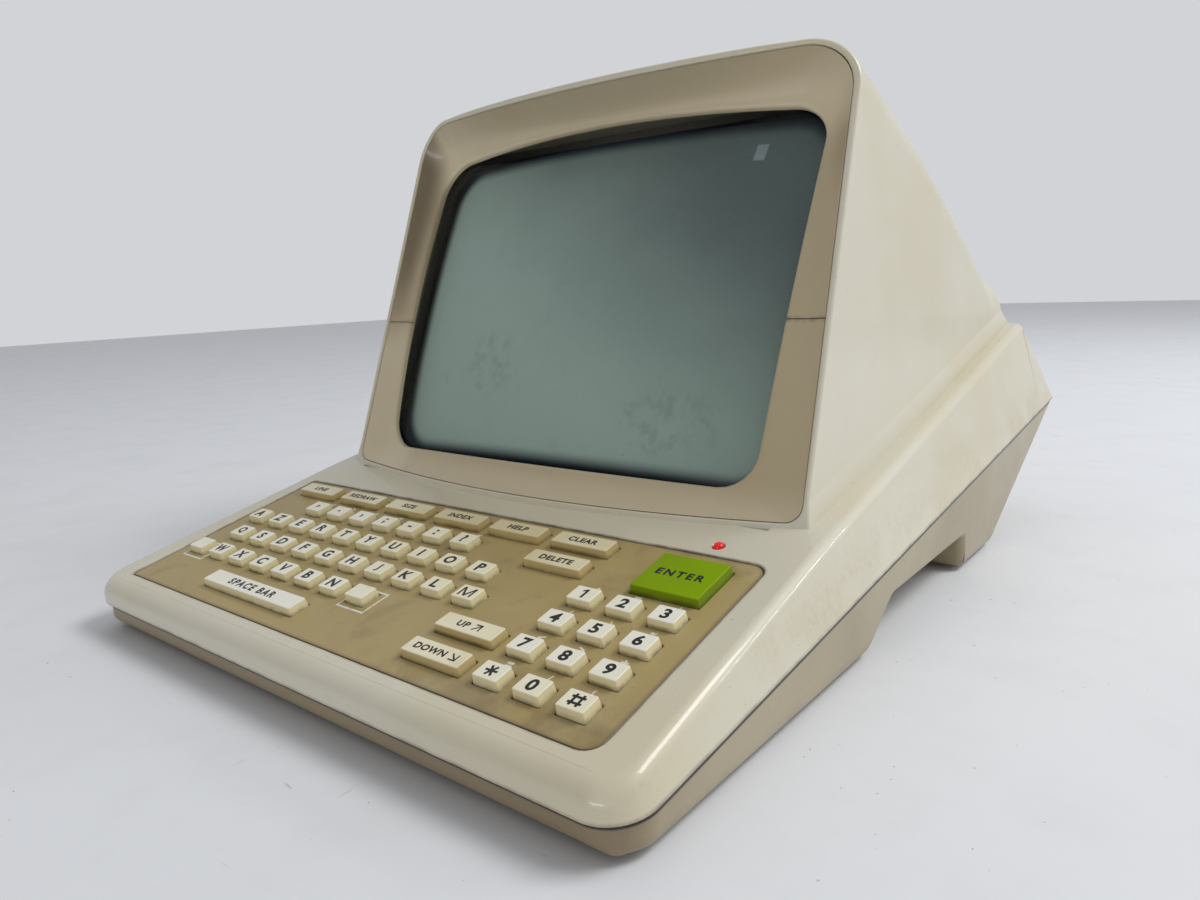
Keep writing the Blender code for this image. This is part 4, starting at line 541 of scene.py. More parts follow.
def frame_back_y(x, z):
    """The flat back of the frame, a little in front of it so that the hollow breaks through."""
    t = (z - RIM_FOOT_HEIGHT + (RIM_DEPTH - 0.05) * math.sin(RIM_TILT)) / math.cos(RIM_TILT)
    return RIM_SETBACK + t * math.sin(RIM_TILT) + (RIM_DEPTH - 0.05) * math.cos(RIM_TILT)


def tail_y(x, z, inset=0.0):
    drop = (BACK_STEP + inset) / math.cos(BACK_SLOPE)
    return CASE_LENGTH - (z - PARTING_REAR - BACK_TIP + drop) / math.tan(BACK_SLOPE)


def tail_hollow_y(x, z):
    return tail_y(x, z, HOUSING_WALL)


def skin_rows(front, back, shares, inset=0.0):
    """Sections of the housing between two curves, one row for each share of the way."""
    rows = []
    for share in shares:
        y = front + share * (back - front)
        x, z = housing_section(y, inset)
        rows.append(np.column_stack((x, y, z)))
    return np.stack(rows)


def left_too(rows):
    """Rows of right-hand points that end on the middle line, carried on down the left side."""
    return np.concatenate((rows, rows[:, -2::-1] * (-1, 1, 1)), axis=1)


def opening_half(gap=0.0):
    """Right half of the opening's outline in the rim's plane, from bottom to top, drawn in by a gap."""
    lean = SIDE_LEAN * math.cos(RIM_TILT) + SIDE_TAPER * math.sin(RIM_TILT)
    high, foot = RIM_HEIGHT - RIM_WIDTH, RIM_HALF_WIDTH - RIM_WIDTH
    head = foot - lean * high
    low, high, foot, head = OPENING_FLOOR + gap, high - gap, foot - gap, head - gap
    floor = np.linspace(0, foot - OPENING_FOOT_RADIUS, 14)[:-1]
    turn = np.linspace(-math.pi / 2, 0, 7)
    side = np.linspace(0, 1, BAND_POINTS + len(SIDE_SHARES) - 1)[1:]
    arc = np.linspace(0, math.pi / 2, len(ARC_ANGLES) + 1)[1:]
    side_foot, side_head = (foot, low + OPENING_FOOT_RADIUS), (head, high - OPENING_TOP_RADIUS)
    run = [start + side * (end - start) for start, end in zip(side_foot, side_head)]
    centre_x = head - OPENING_TOP_RADIUS
    x = np.concatenate((
        floor, foot - OPENING_FOOT_RADIUS + OPENING_FOOT_RADIUS * np.cos(turn), run[0],
        centre_x + OPENING_TOP_RADIUS * np.cos(arc), centre_x * (1 - TOP_SHARES)))
    t = np.concatenate((
        0 * floor + low, low + OPENING_FOOT_RADIUS + OPENING_FOOT_RADIUS * np.sin(turn), run[1],
        side_head[1] + OPENING_TOP_RADIUS * np.sin(arc), 0 * TOP_SHARES + high))
    up = (t - low) / (high - low)
    crown = -RIM_BOW_TOP * math.tan(RIM_TILT)
    return x, t + (1 - (x / foot) ** 2) * (crown * up - OPENING_SAG * (1 - up))


def both_sides(rows):
    """Adds the left side, mirrored, to rows of right-hand points that start and end on the middle line."""
    return np.concatenate((rows, rows[:, -2:0:-1] * (-1, 1, 1)), axis=1)


def tangent(rows):
    return unit(np.gradient(rows, axis=-2))


def housing_parts():
    """The frame round the opening as closed rings, the skin from it to the tail, and the closing faces."""
    shares = np.concatenate(([0, 0.002], np.linspace(0, 1, 41)[1:]))
    skin = skin_rows(meet(rim_y, CREST_SETBACK), meet(tail_y, TAIL_SETBACK), shares)
    inner_x, inner_t = opening_half()
    sunk_count = len(inner_x) - COLUMNS
    local = (skin[0] - SCREEN.origin) @ SCREEN.axes.T
    lead = np.linspace(0, 1, sunk_count + 1)[:-1]
    depth = -HOUSING_ROOT
    outer_x = np.concatenate((lead * local[0, 0], local[:, 0]))
    outer_t = np.concatenate((depth + (local[0, 1] - depth) * lead**8, local[:, 1]))
    outer = SCREEN.out(np.column_stack((outer_x, outer_t, rim_out(outer_x, outer_t))))
    inner = SCREEN.out(np.column_stack((inner_x, inner_t, rim_out(inner_x, inner_t))))
    along = tangent(np.column_stack((inner_x, inner_t, 0 * inner_x)))
    inward = SCREEN.turn(np.column_stack((-along[:, 1], along[:, 0], 0 * inner_x)))
    skin_out = unit(np.cross(tangent(skin[1]), skin[2] - skin[1]))
    away = (skin[0] - (0, RIM_SETBACK, RIM_FOOT_HEIGHT)) * (1, 0, 1)
    skin_out *= np.sign(np.sum(skin_out * away, axis=1))[:, None]
    side_out = np.concatenate((np.repeat([[0, 0, -1.0]], sunk_count, axis=0), skin_out))
    wall_back = SCREEN.out(np.column_stack((inner_x, inner_t, 0 * inner_x - RIM_DEPTH)))
    wall = [wall_back, *fillet(inner, inward, rim_facing(inner_x, inner_t), RIM_INNER_RADIUS, 5)]
    lip = fillet(outer, rim_facing(outer_x, outer_t), side_out, RIM_OUTER_RADIUS, 6)
    ring = both_sides(np.stack(wall + [0.5 * (wall[-1] + lip[0])] + list(lip)))
    rear = left_too(np.stack([lip[-1][sunk_count:], *skin[2:]]))
    points, faces = sheet(rear, close=True)
    last = len(points) - rear.shape[1]
    sunk = np.concatenate((lip[-1][: sunk_count + 1], lip[-1][1 : sunk_count + 1] * (-1, 1, 1)))
    order = list(range(sunk_count, -1, -1)) + list(range(sunk_count + 1, len(sunk)))
    return (sheet(ring, close=True), (ring[0], [list(range(len(ring[0])))]),
            (points, faces + [list(range(last, len(points)))]), (sunk, [order]))


def housing_hollow():
    front = meet(frame_back_y, CREST_SETBACK, HOUSING_WALL)
    back = meet(tail_hollow_y, TAIL_SETBACK, HOUSING_WALL)
    return stack(left_too(skin_rows(front, back, np.linspace(0, 1, 16), HOUSING_WALL)))


monitor_housing = solid("monitor_housing", *housing_parts())
carve(monitor_housing, solid("housing_hollow", housing_hollow()))


def slot_ring(x, y, width, length, z, steps=8):
    """The outline of a slot with round ends, level at z, its middle at x and y."""
    angles = np.linspace(0, math.pi, steps)
    straight = (length - width) / 2
    near = np.column_stack((np.cos(angles) * width / 2, np.sin(angles) * width / 2 + straight))
    outline = np.concatenate((near, -near))
    return np.column_stack((outline + (x, y), np.full(len(outline), float(z))))


for i in range(VENT_COUNT):
    middle = ((i - (VENT_COUNT - 1) / 2) * VENT_PITCH, VENT_START + VENT_LENGTH / 2)
    rings = [slot_ring(*middle, VENT_WIDTH, VENT_LENGTH, z) for z in (TAIL_HEIGHT - 10, CREST_HEIGHT)]
    carve(monitor_housing, solid(f"vent_tool_{i}", stack(rings)))
fit_out(settle(monitor_housing), cream, "case", "ivory_shell", "upper_shell")

# Openings of the case moulding: the pocket that takes the keyboard plate, the lamp's hole, the well under
# the picture tube, and the holes of the back panel. The mould forms them all, so they come before its finish.
SEAT_GAP = 0.3
WELL_FRONT, WELL_REAR, WELL_FLOOR, WELL_TOP = (100.0, RIM_SETBACK - 4), (98.0, TAIL_SETBACK - 10), 20.0, 120.0
LAMP_X, LAMP_ROW, LAMP_RADIUS = 90.5, 87.1, 1.7
POWER_X, KNOB_X, SOCKET_X, PHONE_X, MAINS_X = -92.0, -52.0, 0.0, 58.0, 92.0
POWER_WIDTH, POWER_HEIGHT = 16.0, 10.0
SHAFT_RADIUS, SOCKET_RADIUS, GLAND_NECK = 3.0, 7.8, 4.8


def rounded_rectangle(low, high, radii, steps=7):
    """Outline of a rectangle with its own radius at each corner, from lower left round by lower right."""
    (left, near), (right, far) = low, high
    corners = ((left, near, 1, 1, math.pi), (right, near, -1, 1, 1.5 * math.pi),
               (right, far, -1, -1, 0), (left, far, 1, -1, 0.5 * math.pi))
    turn = np.linspace(0, math.pi / 2, steps)
    arcs = [np.column_stack((x + sx * r + r * np.cos(start + turn), y + sy * r + r * np.sin(start + turn)))
            for (x, y, sx, sy, start), r in zip(corners, radii)]
    return np.concatenate(arcs)


def lifted(plane, outline, height):
    """An outline at a height above a plane."""
    return plane.out(np.column_stack((outline, np.full(len(outline), float(height)))))


def prism(plane, outline, *heights):
    """A closed solid of one outline on a plane between heights, each a number or a (height, growth) pair."""
    middle = outline.mean(0)
    half = np.abs(outline - middle).max(0)
    pairs = [height if isinstance(height, tuple) else (height, 0) for height in heights]
    return stack([
        lifted(plane, middle + (outline - middle) * (1 + growth / half), height) for height, growth in pairs])


def disc(x, y, radius, steps=40):
    angles = np.arange(steps) * math.tau / steps
    return np.column_stack((x + radius * np.cos(angles), y + radius * np.sin(angles)))


def middle_rectangle(x, y, width, height, radius, steps=7):
    """Outline of a rectangle round its middle, with one radius for its corners."""
    half = np.array((width, height)) / 2
    return rounded_rectangle((x, y) - half, (x, y) + half, [radius] * 4, steps)


half_plate = PLATE_WIDTH / 2
pocket = rounded_rectangle((-half_plate - SEAT_GAP, -SEAT_GAP), (half_plate + SEAT_GAP, PLATE_DEPTH + SEAT_GAP),
                           [radius + SEAT_GAP for radius in PLATE_RADII])
carve(case_moulding, solid("pocket_tool", prism(DECK, pocket, -10, -0.25, (0.1, 0.35), (3, 0.35))))
lamp_hole = disc(LAMP_X, LAMP_ROW, LAMP_RADIUS + SEAT_GAP)
carve(case_moulding, solid("lamp_tool", prism(DECK, lamp_hole, -8, -0.2, (0.1, 0.3), (2, 0.3))))
well = np.array((WELL_FRONT, WELL_REAR))
well = np.concatenate((well, well[::-1] * (-1, 1)))
TABLE = Plane((0, 0, 0), 0)
carve(case_moulding, solid("well_tool", prism(TABLE, well, WELL_FLOOR, WELL_TOP)))
round_holes = ((KNOB_X, SHAFT_RADIUS), (SOCKET_X, SOCKET_RADIUS), (PHONE_X, GLAND_NECK), (MAINS_X, GLAND_NECK))
back_holes = [disc(x, 0, radius + SEAT_GAP) for x, radius in round_holes]
back_holes.append(middle_rectangle(POWER_X, 0, POWER_WIDTH + 2 * SEAT_GAP, POWER_HEIGHT + 2 * SEAT_GAP, 0.8))
for number, outline in enumerate(back_holes, 1):
    carve(case_moulding, solid(f"back_tool_{number}", prism(BACK, outline, -8, 8)))
fit_out(settle(case_moulding), cream, "case", "ivory_shell", "upper_shell")

# Lower shell: the tan tray under the case. Its base carries the keyboard end, then it rises in an arch, which
# serves as a hand-hold, and comes down in a foot at the back. Screws from below hold it to the upper shell.
TAN = (0.420, 0.358, 0.228, 1)
TAN_AGED = (0.270, 0.210, 0.125, 1)
TAN_FRONT = (0.215, 0.155, 0.080, 1)
SEAM_BLACK = (0.012, 0.010, 0.008, 1)
TRAY_GAP = 0.9
TRAY_SIDE_STEP, TRAY_FRONT_STEP = 0.9, 1.6
TRAY_CLEARANCE, TRAY_FRONT_RISE = 2.0, 3.0
BASE_END, ARCH_START, ARCH_END, ARCH_HEIGHT = 130.0, 147.6, 224.0, 15.0
FOOT_START, FOOT_END = 226.0, 267.4
TRAY_DRAFT, TRAY_EDGE_RADIUS = 0.05, 3.0
TRAY_BEND_RADII = (4.0, 8.0, -8.0, -1.5, 1.5, 6.0)
TRAY_WALL = 2.4


def tray_skin(inset=0.0, rise=0.0):
    """The tray under the parting line, or its hollow: inset from every face, with its top raised."""
    ground, front = TRAY_CLEARANCE + inset, TRAY_FRONT_STEP + inset
    end = CASE_LENGTH - BACK_TIP - 3 * inset
    profile, unders = rounded_path(
        ((front, ground + TRAY_FRONT_RISE), (front + TRAY_FRONT_RISE, ground), (BASE_END - inset, ground),
         (ARCH_START - inset, ARCH_HEIGHT + inset), (ARCH_END + inset, ARCH_HEIGHT + inset),
         (FOOT_START + inset, ground), (FOOT_END, ground), (end, parting_height(end) - TRAY_GAP - BACK_TIP)),
        TRAY_BEND_RADII, facing=-1)
    stations = np.union1d(corner_stations(front, inset), profile[:, 0])
    z = np.interp(stations, *profile.T)
    lid = np.column_stack([0 * z] + [np.interp(stations, profile[:, 0], part) for part in unders.T])
    top = parting_height(stations) - TRAY_GAP
    angle = np.arccos(np.clip(1 - (stations - front) / (PLAN_CORNER_RADIUS - inset), 0, 1))
    side = CASE_WIDTH / 2 - TRAY_SIDE_STEP - inset - front_corner(stations, front, inset)
    draft = TRAY_DRAFT * np.sin(angle)
    wall = unit(np.column_stack((np.sin(angle), -np.cos(angle), -draft)))
    edge = np.column_stack((side - draft * (top - z), stations, z))
    foot = np.column_stack((side, stations, top + rise))
    radius = np.minimum(TRAY_EDGE_RADIUS - inset / 2, 0.6 * (top - z))
    return moulding(edge, wall, unit(lid), radius[:, None], foot)


def tray_marks(place, tone):
    """Dark patches where the tray touches the table, its shaded front, and the black seam at its top."""
    x, y, z = place.parts()
    patchy = place.noise(12, detail=5, roughness=0.7).rise(0.4, 0.7)
    low = z.fall(2.0, 7.0) * (0.3 + patchy * 0.7)
    tone = place.mixed(low * 0.6, tone, GRIME)
    tone = place.mixed(place.noise(5, detail=5, roughness=0.7, bend=0.8).rise(0.52, 0.70) * 0.25, tone, STAINED)
    tone = place.mixed(y.fall(2, 16) * 0.75, tone, TAN_FRONT)
    above = z + TRAY_GAP - parting_height(y)
    return place.mixed(above.rise(-1.5, -0.9), tone, SEAM_BLACK)


tan = plastic("tan_shell", TAN, TAN_AGED, 0.36, grain=0.4, depth=0.012, marks=tray_marks,
              Coat_Weight=0.2, Coat_Roughness=0.2)
lower_tray = solid("lower_tray", tray_skin())
carve(lower_tray, solid("tray_hollow", tray_skin(TRAY_WALL, CUT_OVERRUN)))
fit_out(settle(lower_tray), tan, "case", "tan_shell", "lower_shell")

# Bezel: the brown moulding between the hood and the tube. It comes in two parts that meet at a level seam on
# each side, coves down from the hood to the glass, and ends in a soft rolled lip round the window.
BROWN = (0.500, 0.408, 0.255, 1)
BROWN_AGED = (0.395, 0.318, 0.195, 1)
BROWN_LIT = (0.720, 0.620, 0.430, 1)
COVE = (0.190, 0.140, 0.080, 1)
BEZEL_RECESS, BEZEL_GAP, BEZEL_WALL = 0.8, 0.2, 2.5
SEAM_HEIGHT, SEAM_GAP = 65.5, 0.35
WINDOW_LOW, WINDOW_HIGH = 10.2, 139.8
WINDOW_HALF_FOOT, WINDOW_HALF_HEAD, WINDOW_SWELL = 89.9, 93.1, 0.9
WINDOW_CROWN, WINDOW_SAG, WINDOW_CORNER = 4.3, 1.2, 12.8
WINDOW_MIDDLE, WINDOW_LEAN = 76.5, math.radians(2.6)
WINDOW_CURVE, LIP_RISE, LIP_RADIUS, LIP_SWELL = 600.0, 6.0, 1.5, 0.25
COVE_SHARE, COVE_POWER = 0.9, 0.92


def window_half():
    """Right half of the window's outline with as many points as the opening's, so that the two pair up."""
    floor = np.linspace(0, WINDOW_HALF_FOOT - WINDOW_CORNER, 14)[:-1]
    turn, arc = np.linspace(-math.pi / 2, 0, 7), ARC_ANGLES
    spare = len(opening_half()[0]) - len(floor) - len(turn) - len(arc) - len(TOP_SHARES)
    side = np.linspace(0, 1, spare + 1)[1:]
    low, high = WINDOW_LOW + WINDOW_CORNER, WINDOW_HIGH - WINDOW_CORNER
    x = np.concatenate((
        floor, WINDOW_HALF_FOOT - WINDOW_CORNER * (1 - np.cos(turn)),
        WINDOW_HALF_FOOT + (WINDOW_HALF_HEAD - WINDOW_HALF_FOOT) * side,
        WINDOW_HALF_HEAD - WINDOW_CORNER * (1 - np.cos(arc)),
        (WINDOW_HALF_HEAD - WINDOW_CORNER) * (1 - TOP_SHARES)))
    t = np.concatenate((
        0 * floor + WINDOW_LOW, low + WINDOW_CORNER * np.sin(turn), low + (high - low) * side,
        high + WINDOW_CORNER * np.sin(arc), 0 * TOP_SHARES + WINDOW_HIGH))
    up = (t - WINDOW_LOW) / (WINDOW_HIGH - WINDOW_LOW)
    swell = 1 + 4 * WINDOW_SWELL * up * (1 - up) / WINDOW_HALF_FOOT
    crown = (1 - (x / WINDOW_HALF_HEAD) ** 2) * (WINDOW_CROWN * up - WINDOW_SAG * (1 - up))
    return x * swell, t + crown


def window_out(x, t):
    """Depth of the window's lip: part of a sphere that leans back a little more than the rim."""
    up = t - WINDOW_MIDDLE
    return LIP_RISE - up * math.tan(WINDOW_LEAN) - (x**2 + up**2) / (2 * WINDOW_CURVE)


def bezel_rings():
    """Rings from the hood to the window. The depth follows a quarter sine wave, then the lip rolls over."""
    outer_x, outer_t = opening_half(BEZEL_GAP)
    inner_x, inner_t = window_half()
    depth_out, depth_in = rim_out(outer_x, outer_t) - BEZEL_RECESS, window_out(inner_x, inner_t)

    def ring(across, deep, drop):
        x, t = outer_x + (inner_x - outer_x) * across, outer_t + (inner_t - outer_t) * across
        return SCREEN.out(np.column_stack((x, t, depth_out + (depth_in - depth_out) * deep - drop)))

    def cove(across):
        return math.sin(across / COVE_SHARE * math.pi / 2)

    rows = [ring(0, 0, BEZEL_WALL), ring(0, 0, 0.5), ring(0.006, 0.004, 0.15)]
    for across in np.linspace(0, COVE_SHARE, 22)[1:]:
        rows.append(ring(across, cove(across) ** COVE_POWER, -LIP_SWELL * cove(across) ** 6))
    for angle in np.linspace(0, math.pi / 2, 7)[1:]:
        across = COVE_SHARE + (1 - COVE_SHARE) * math.sin(angle)
        rows.append(ring(across, 1, LIP_RADIUS * (1 - math.cos(angle)) - LIP_SWELL))
    rows.append(ring(1, 1, BEZEL_WALL))
    rows += [ring(across, cove(across) ** COVE_POWER, BEZEL_WALL) for across in (COVE_SHARE, 0.6, 0.3)]
    return both_sides(np.stack(rows))


def closed_tube(rows):
    """Quads of rings that close on themselves both ways, for a frame with a hole through it."""
    return sheet(np.concatenate((rows, rows[:1])), close=True)


def bezel_marks(place, tone):
    """Dust along the seam and in the foot, painted light at the foot, the top and the left ridge, and painted
    shade in the coves.
    """
    x, y, z = place.parts()
    rise = (y - RIM_SETBACK) * math.sin(RIM_TILT) + (z - RIM_FOOT_HEIGHT) * math.cos(RIM_TILT)
    patchy = place.noise(7, detail=5, roughness=0.7).rise(0.35, 0.7)
    seam = abs(rise - SEAM_HEIGHT).fall(0.3, 1.6) * patchy
    tone = place.mixed(seam * 0.7, tone, GRIME)
    tone = place.mixed(rise.fall(-4, 5) * patchy * 0.15, tone, GRIME)
    # Painted light: the bezel is paler at its foot and at its top.
    tone = place.mixed((rise.fall(2, 14) * 0.45).most(rise.rise(118, 140) * 0.85), tone, BROWN_LIT)
    from_side = x - 0.0276 * rise + RIM_HALF_WIDTH - RIM_WIDTH
    from_top = RIM_HEIGHT - RIM_WIDTH - 5.8 * (1 - (x / 108) ** 2) - rise
    # Painted light on the inner ridge at the left, which faces the lamps, and low on the left side.
    lit_ridge = from_side.rise(12, 17) * from_side.fall(26, 34) * 0.7
    tone = place.mixed(lit_ridge.most(from_side.fall(30, 40) * rise.fall(50, 74) * 0.6), tone, BROWN_LIT)
    # Painted shade in the cove at the left side and under the hood.
    shaded = (from_side.fall(3, 14) * rise.rise(50, 100) * 0.95).most(from_top.fall(0, 14) * 0.40)
    return place.mixed(shaded, tone, COVE)


brown = plastic("brown_bezel", BROWN, BROWN_AGED, 0.36, grain=0.4, depth=0.012, marks=bezel_marks,
                Coat_Weight=0.3, Coat_Roughness=0.14)
reach, seam_low, seam_high = CASE_WIDTH, SEAM_HEIGHT - SEAM_GAP / 2, SEAM_HEIGHT + SEAM_GAP / 2
for name, low, high in (("bezel_upper", seam_high, reach), ("bezel_lower", -reach, seam_low)):
    half_bezel = solid(f"{name}_moulding", closed_tube(bezel_rings()))
    keep = np.array(((-reach, low), (reach, low), (reach, high), (-reach, high)))
    carve(half_bezel, solid(f"{name}_tool", prism(SCREEN, keep, -60, 60)), "INTERSECT")
    fit_out(settle(half_bezel), brown, "case", "mocha_bezel", name)

# Keyboard plate: a khaki printed sheet set flush in the deck, with a hole for every key. Years of use have
# browned it in patches. Two thin white frames are printed round the blank shift keys.
KHAKI = (0.415, 0.318, 0.130, 1)
KHAKI_AGED = (0.345, 0.250, 0.088, 1)
STAIN = (0.150, 0.100, 0.036, 1)
INK_WHITE = (0.78, 0.76, 0.68, 1)
PLATE_RECESS, PLATE_THICKNESS, PLATE_EDGE = 0.3, 2.0, 0.18
SHIFT_FRAMES, FRAME_HALF, FRAME_LINE = ((-98.7, 22.8), (0.1, 22.8)), (6.4, 5.2), 0.7
KEY_PITCH, ROW_PITCH = 14.1, 12.52
KEY_SIZE, KEY_HEIGHT, KEY_DRAFT, HOLE_GAP = (8.3, 6.4), 2.7, 0.3, 0.3
WIDE_SIZE, SPACE_SIZE, SEND_SIZE = (22.3, 6.3), (52.6, 6.4), (22.3, 18.4)
LETTER_FRONT, NUMBER_FRONT = 23.5, 10.6
NUMBER_START, NUMBER_PITCH = 70.0, 13.93
PAD_X, CORRECTION_ROW = 49.0, 60.7
FUNCTION_START, FUNCTION_PITCH, FUNCTION_ROW = -91.6, 28.3, 73.1
SPACE_PLACE, SEND_PLACE = (-42.3, 10.3), (90.8, 66.0)
LETTER_ROWS = {
    "lower_letters": (-99.6, " WXCVBN "),
    "home_letters": (-91.9, "QSDFGHJKLM"),
    "upper_letters": (-98.8, "AZERTYUIOP"),
    "punctuation": (-77.2, ",.';-:?"),
}
NUMBER_ROWS = (("star", "0", "hash"), "789", "456", "123")
FUNCTION_KEYS = ("connect", "repeat", "zoom", "index", "guide", "cancel")

row_places = {}
for number, (body, (start, legends)) in enumerate(LETTER_ROWS.items()):
    run = LETTER_FRONT + number * ROW_PITCH
    row_places[body] = [(start + i * KEY_PITCH, run, *KEY_SIZE) for i in range(len(legends))]
number_places = {
    name: (NUMBER_START + column * NUMBER_PITCH, NUMBER_FRONT + row * ROW_PITCH, *KEY_SIZE)
    for row, names in enumerate(NUMBER_ROWS) for column, name in enumerate(names)}
wide_places = {
    "space": (*SPACE_PLACE, *SPACE_SIZE),
    "next": (PAD_X, NUMBER_FRONT, *WIDE_SIZE),
    "back": (PAD_X, NUMBER_FRONT + ROW_PITCH, *WIDE_SIZE),
    "correction": (PAD_X, CORRECTION_ROW, *WIDE_SIZE),
    "send": (*SEND_PLACE, *SEND_SIZE),
}
for i, body in enumerate(FUNCTION_KEYS):
    wide_places[body] = (FUNCTION_START + i * FUNCTION_PITCH, FUNCTION_ROW, *WIDE_SIZE)


def plate_marks(place, tone):
    """Browned patches between the keys, grease along the front, dirt at the rim, and the printed frames."""
    x, y, z = place.parts()
    run = deck_place(y, z)[0]
    cloud = place.noise(22, detail=6, roughness=0.68, bend=0.8)
    tone = place.mixed(cloud.rise(0.52, 0.76) * 0.40, tone, STAIN)
    front = run.fall(2, 26) * x.rise(-20, 90)
    tone = place.mixed(front * place.noise(14, detail=4, roughness=0.65).rise(0.35, 0.65) * 0.45, tone, STAIN)
    tone = place.mixed(place.noise(30, detail=3).rise(0.55, 0.75) * 0.08, tone, INK_WHITE)
    border = plate_edge(x, run)
    tone = place.mixed(border.rise(-1.6, -0.2) * 0.40, tone, STAIN)
    tone = place.mixed(border.rise(-0.45, -0.25), tone, GRIME)
    tone = place.mixed(place.noise(0.55, detail=1).rise(0.76, 0.80) * 0.7, tone, STAIN)
    for middle in SHIFT_FRAMES:
        across, along = (
            abs(value - centre) - half for value, centre, half in zip((x, run), middle, FRAME_HALF))
        line = abs(across.most(along)).fall(FRAME_LINE / 2 - 0.08, FRAME_LINE / 2 + 0.08)
        tone = place.mixed(line * (0.95 - place.noise(1.5, detail=4).rise(0.5, 0.7) * 0.4), tone, INK_WHITE)
    return tone


khaki = plastic("khaki_plate", KHAKI, KHAKI_AGED, 0.42, grain=0.5, depth=0.008, marks=plate_marks,
                Coat_Weight=0.06, Coat_Roughness=0.3)
plate_outline = rounded_rectangle((-half_plate, 0), (half_plate, PLATE_DEPTH), PLATE_RADII)
plate_top = -PLATE_RECESS
key_plate = solid("key_plate", prism(
    DECK, plate_outline, plate_top - PLATE_THICKNESS, (plate_top - PLATE_EDGE, 0), (plate_top, -PLATE_EDGE)))
hole_growth = 2 * (KEY_DRAFT + HOLE_GAP)
key_holes = [*wide_places.values(), *sum(row_places.values(), []), *number_places.values()]
for number, (x, run, width, depth) in enumerate(key_holes):
    hole = middle_rectangle(x, run, width + hole_growth, depth + hole_growth, 0.5, 4)
    cutter = prism(DECK, hole, -8, plate_top - 0.2, (plate_top + 0.05, 0.22), (2, 0.22))
    carve(key_plate, solid(f"key_hole_tool_{number}", cutter))
fit_out(settle(key_plate), khaki, "case", "khaki_plate", "keyboard_plate")

# Key caps: injection moulded, with flared sides, rounded edges and a shallow dish in the top. The letter and
# number keys are ivory, the function keys beige and the big one green. Each slides in its hole in the plate.
IVORY = (0.880, 0.860, 0.745, 1)
IVORY_AGED = (0.780, 0.690, 0.400, 1)
BEIGE = (0.830, 0.770, 0.550, 1)
BEIGE_AGED = (0.520, 0.400, 0.165, 1)
GREEN = (0.235, 0.370, 0.000, 1)
GREEN_AGED = (0.165, 0.255, 0.004, 1)
KEY_EDGE, KEY_CORNER, KEY_DISH = 0.22, 0.45, 0.05
CAP_FOOT = -3.4


def key_top(x, y, width, depth):
    """Height of a cap's dished top: a parabola of the larger of both distances from its middle, each as a
    share of the way to the edge. On a long cap the way across counts from the ends only."""
    half_x, half_y = width / 2 - KEY_EDGE, depth / 2 - KEY_EDGE
    along = abs(x) / half_x if width < 2 * depth else 1 - (half_x - abs(x)) / half_y
    share = np.clip(np.maximum(along, abs(y) / half_y), 0, 1)
    return plate_top + KEY_HEIGHT - KEY_DISH * (1 - share**2)


def cap(x, run, width, depth):
    """One cap: flared wall, an arc over the edge, then rings that shrink over the dish to a middle face."""
    top = plate_top + KEY_HEIGHT

    def ring(grow, corner, height):
        outline = middle_rectangle(0, 0, width + 2 * grow, depth + 2 * grow, corner, 5)
        return np.column_stack((outline, np.full(len(outline), height)))

    rings = [ring(KEY_DRAFT, KEY_CORNER + KEY_DRAFT, height) for height in (CAP_FOOT, plate_top)]
    rings.append(ring(0, KEY_CORNER, top - KEY_EDGE))
    for angle in np.linspace(0, math.pi / 2, 6)[1:]:
        draw = KEY_EDGE * (1 - math.cos(angle))
        rings.append(ring(-draw, KEY_CORNER - 0.9 * draw, top - KEY_EDGE * (1 - math.sin(angle))))
    rim = rings[-1][:, :2]
    inward = rim if width < 2 * depth else np.sign(rim) * (depth / 2 - KEY_EDGE)
    for share in (0.985, 0.94, 0.85, 0.7, 0.5, 0.25):
        height = np.full(len(rim), top - KEY_DISH * (1 - share**2))
        rings.append(np.column_stack((rim - inward * (1 - share), height)))
    return stack([DECK.out(level + (x, run, 0)) for level in rings])


def key_finish(name, colour, aged, roughness=0.38, gloss=0.5):
    def cap_marks(place, tone):
        """The walls of each cap are darker and yellower than its top, partly painted shade and partly
        yellowing, and they darken further towards the foot.
        """
        x, y, z = place.parts()
        above = deck_place(y, z)[1]
        patchy = place.noise(4, detail=5, roughness=0.7).rise(0.35, 0.7)
        # Painted shade with yellowing on the walls, below the edge of the top.
        tone = place.mixed(above.fall(KEY_HEIGHT - 0.9, KEY_HEIGHT - 0.3) * 0.9, tone, aged)
        tone = place.mixed(above.fall(-0.4, 1.2) * (0.15 + 0.45 * patchy), tone, GRIME)
        return place.mixed(place.noise(7, detail=4).rise(0.52, 0.75) * 0.15, tone, aged)

    return plastic(name, colour, aged, roughness, grain=0.25, depth=0.01, marks=cap_marks,
                   Specular_IOR_Level=gloss)


ivory, beige = key_finish("ivory_key", IVORY, IVORY_AGED), key_finish("beige_key", BEIGE, BEIGE_AGED)
green = key_finish("green_key", GREEN, GREEN_AGED, 0.30, 0.15)


def make_caps(body, node, finish, slot, places):
    """One piece of all the caps that move together."""
    caps = solid(f"{body}_caps", *[cap(*place) for place in places])
    fit_out(settle(caps, 40), finish, body, slot, node)


for body, places in row_places.items():
    make_caps(body, body.replace("letters", "letter") + "_row", ivory, "ivory_key", places)
for name, place in number_places.items():
    make_caps(f"digit_{name}" if name.isdigit() else name, f"key_{name}", ivory, "ivory_key", [place])
for body, place in wide_places.items():
    finish, slot = {"space": (ivory, "ivory_key"), "send": (green, "green_key")}.get(body, (beige, "beige_key"))
    make_caps(body, "space_bar" if body == "space" else f"{body}_key", finish, slot, [place])

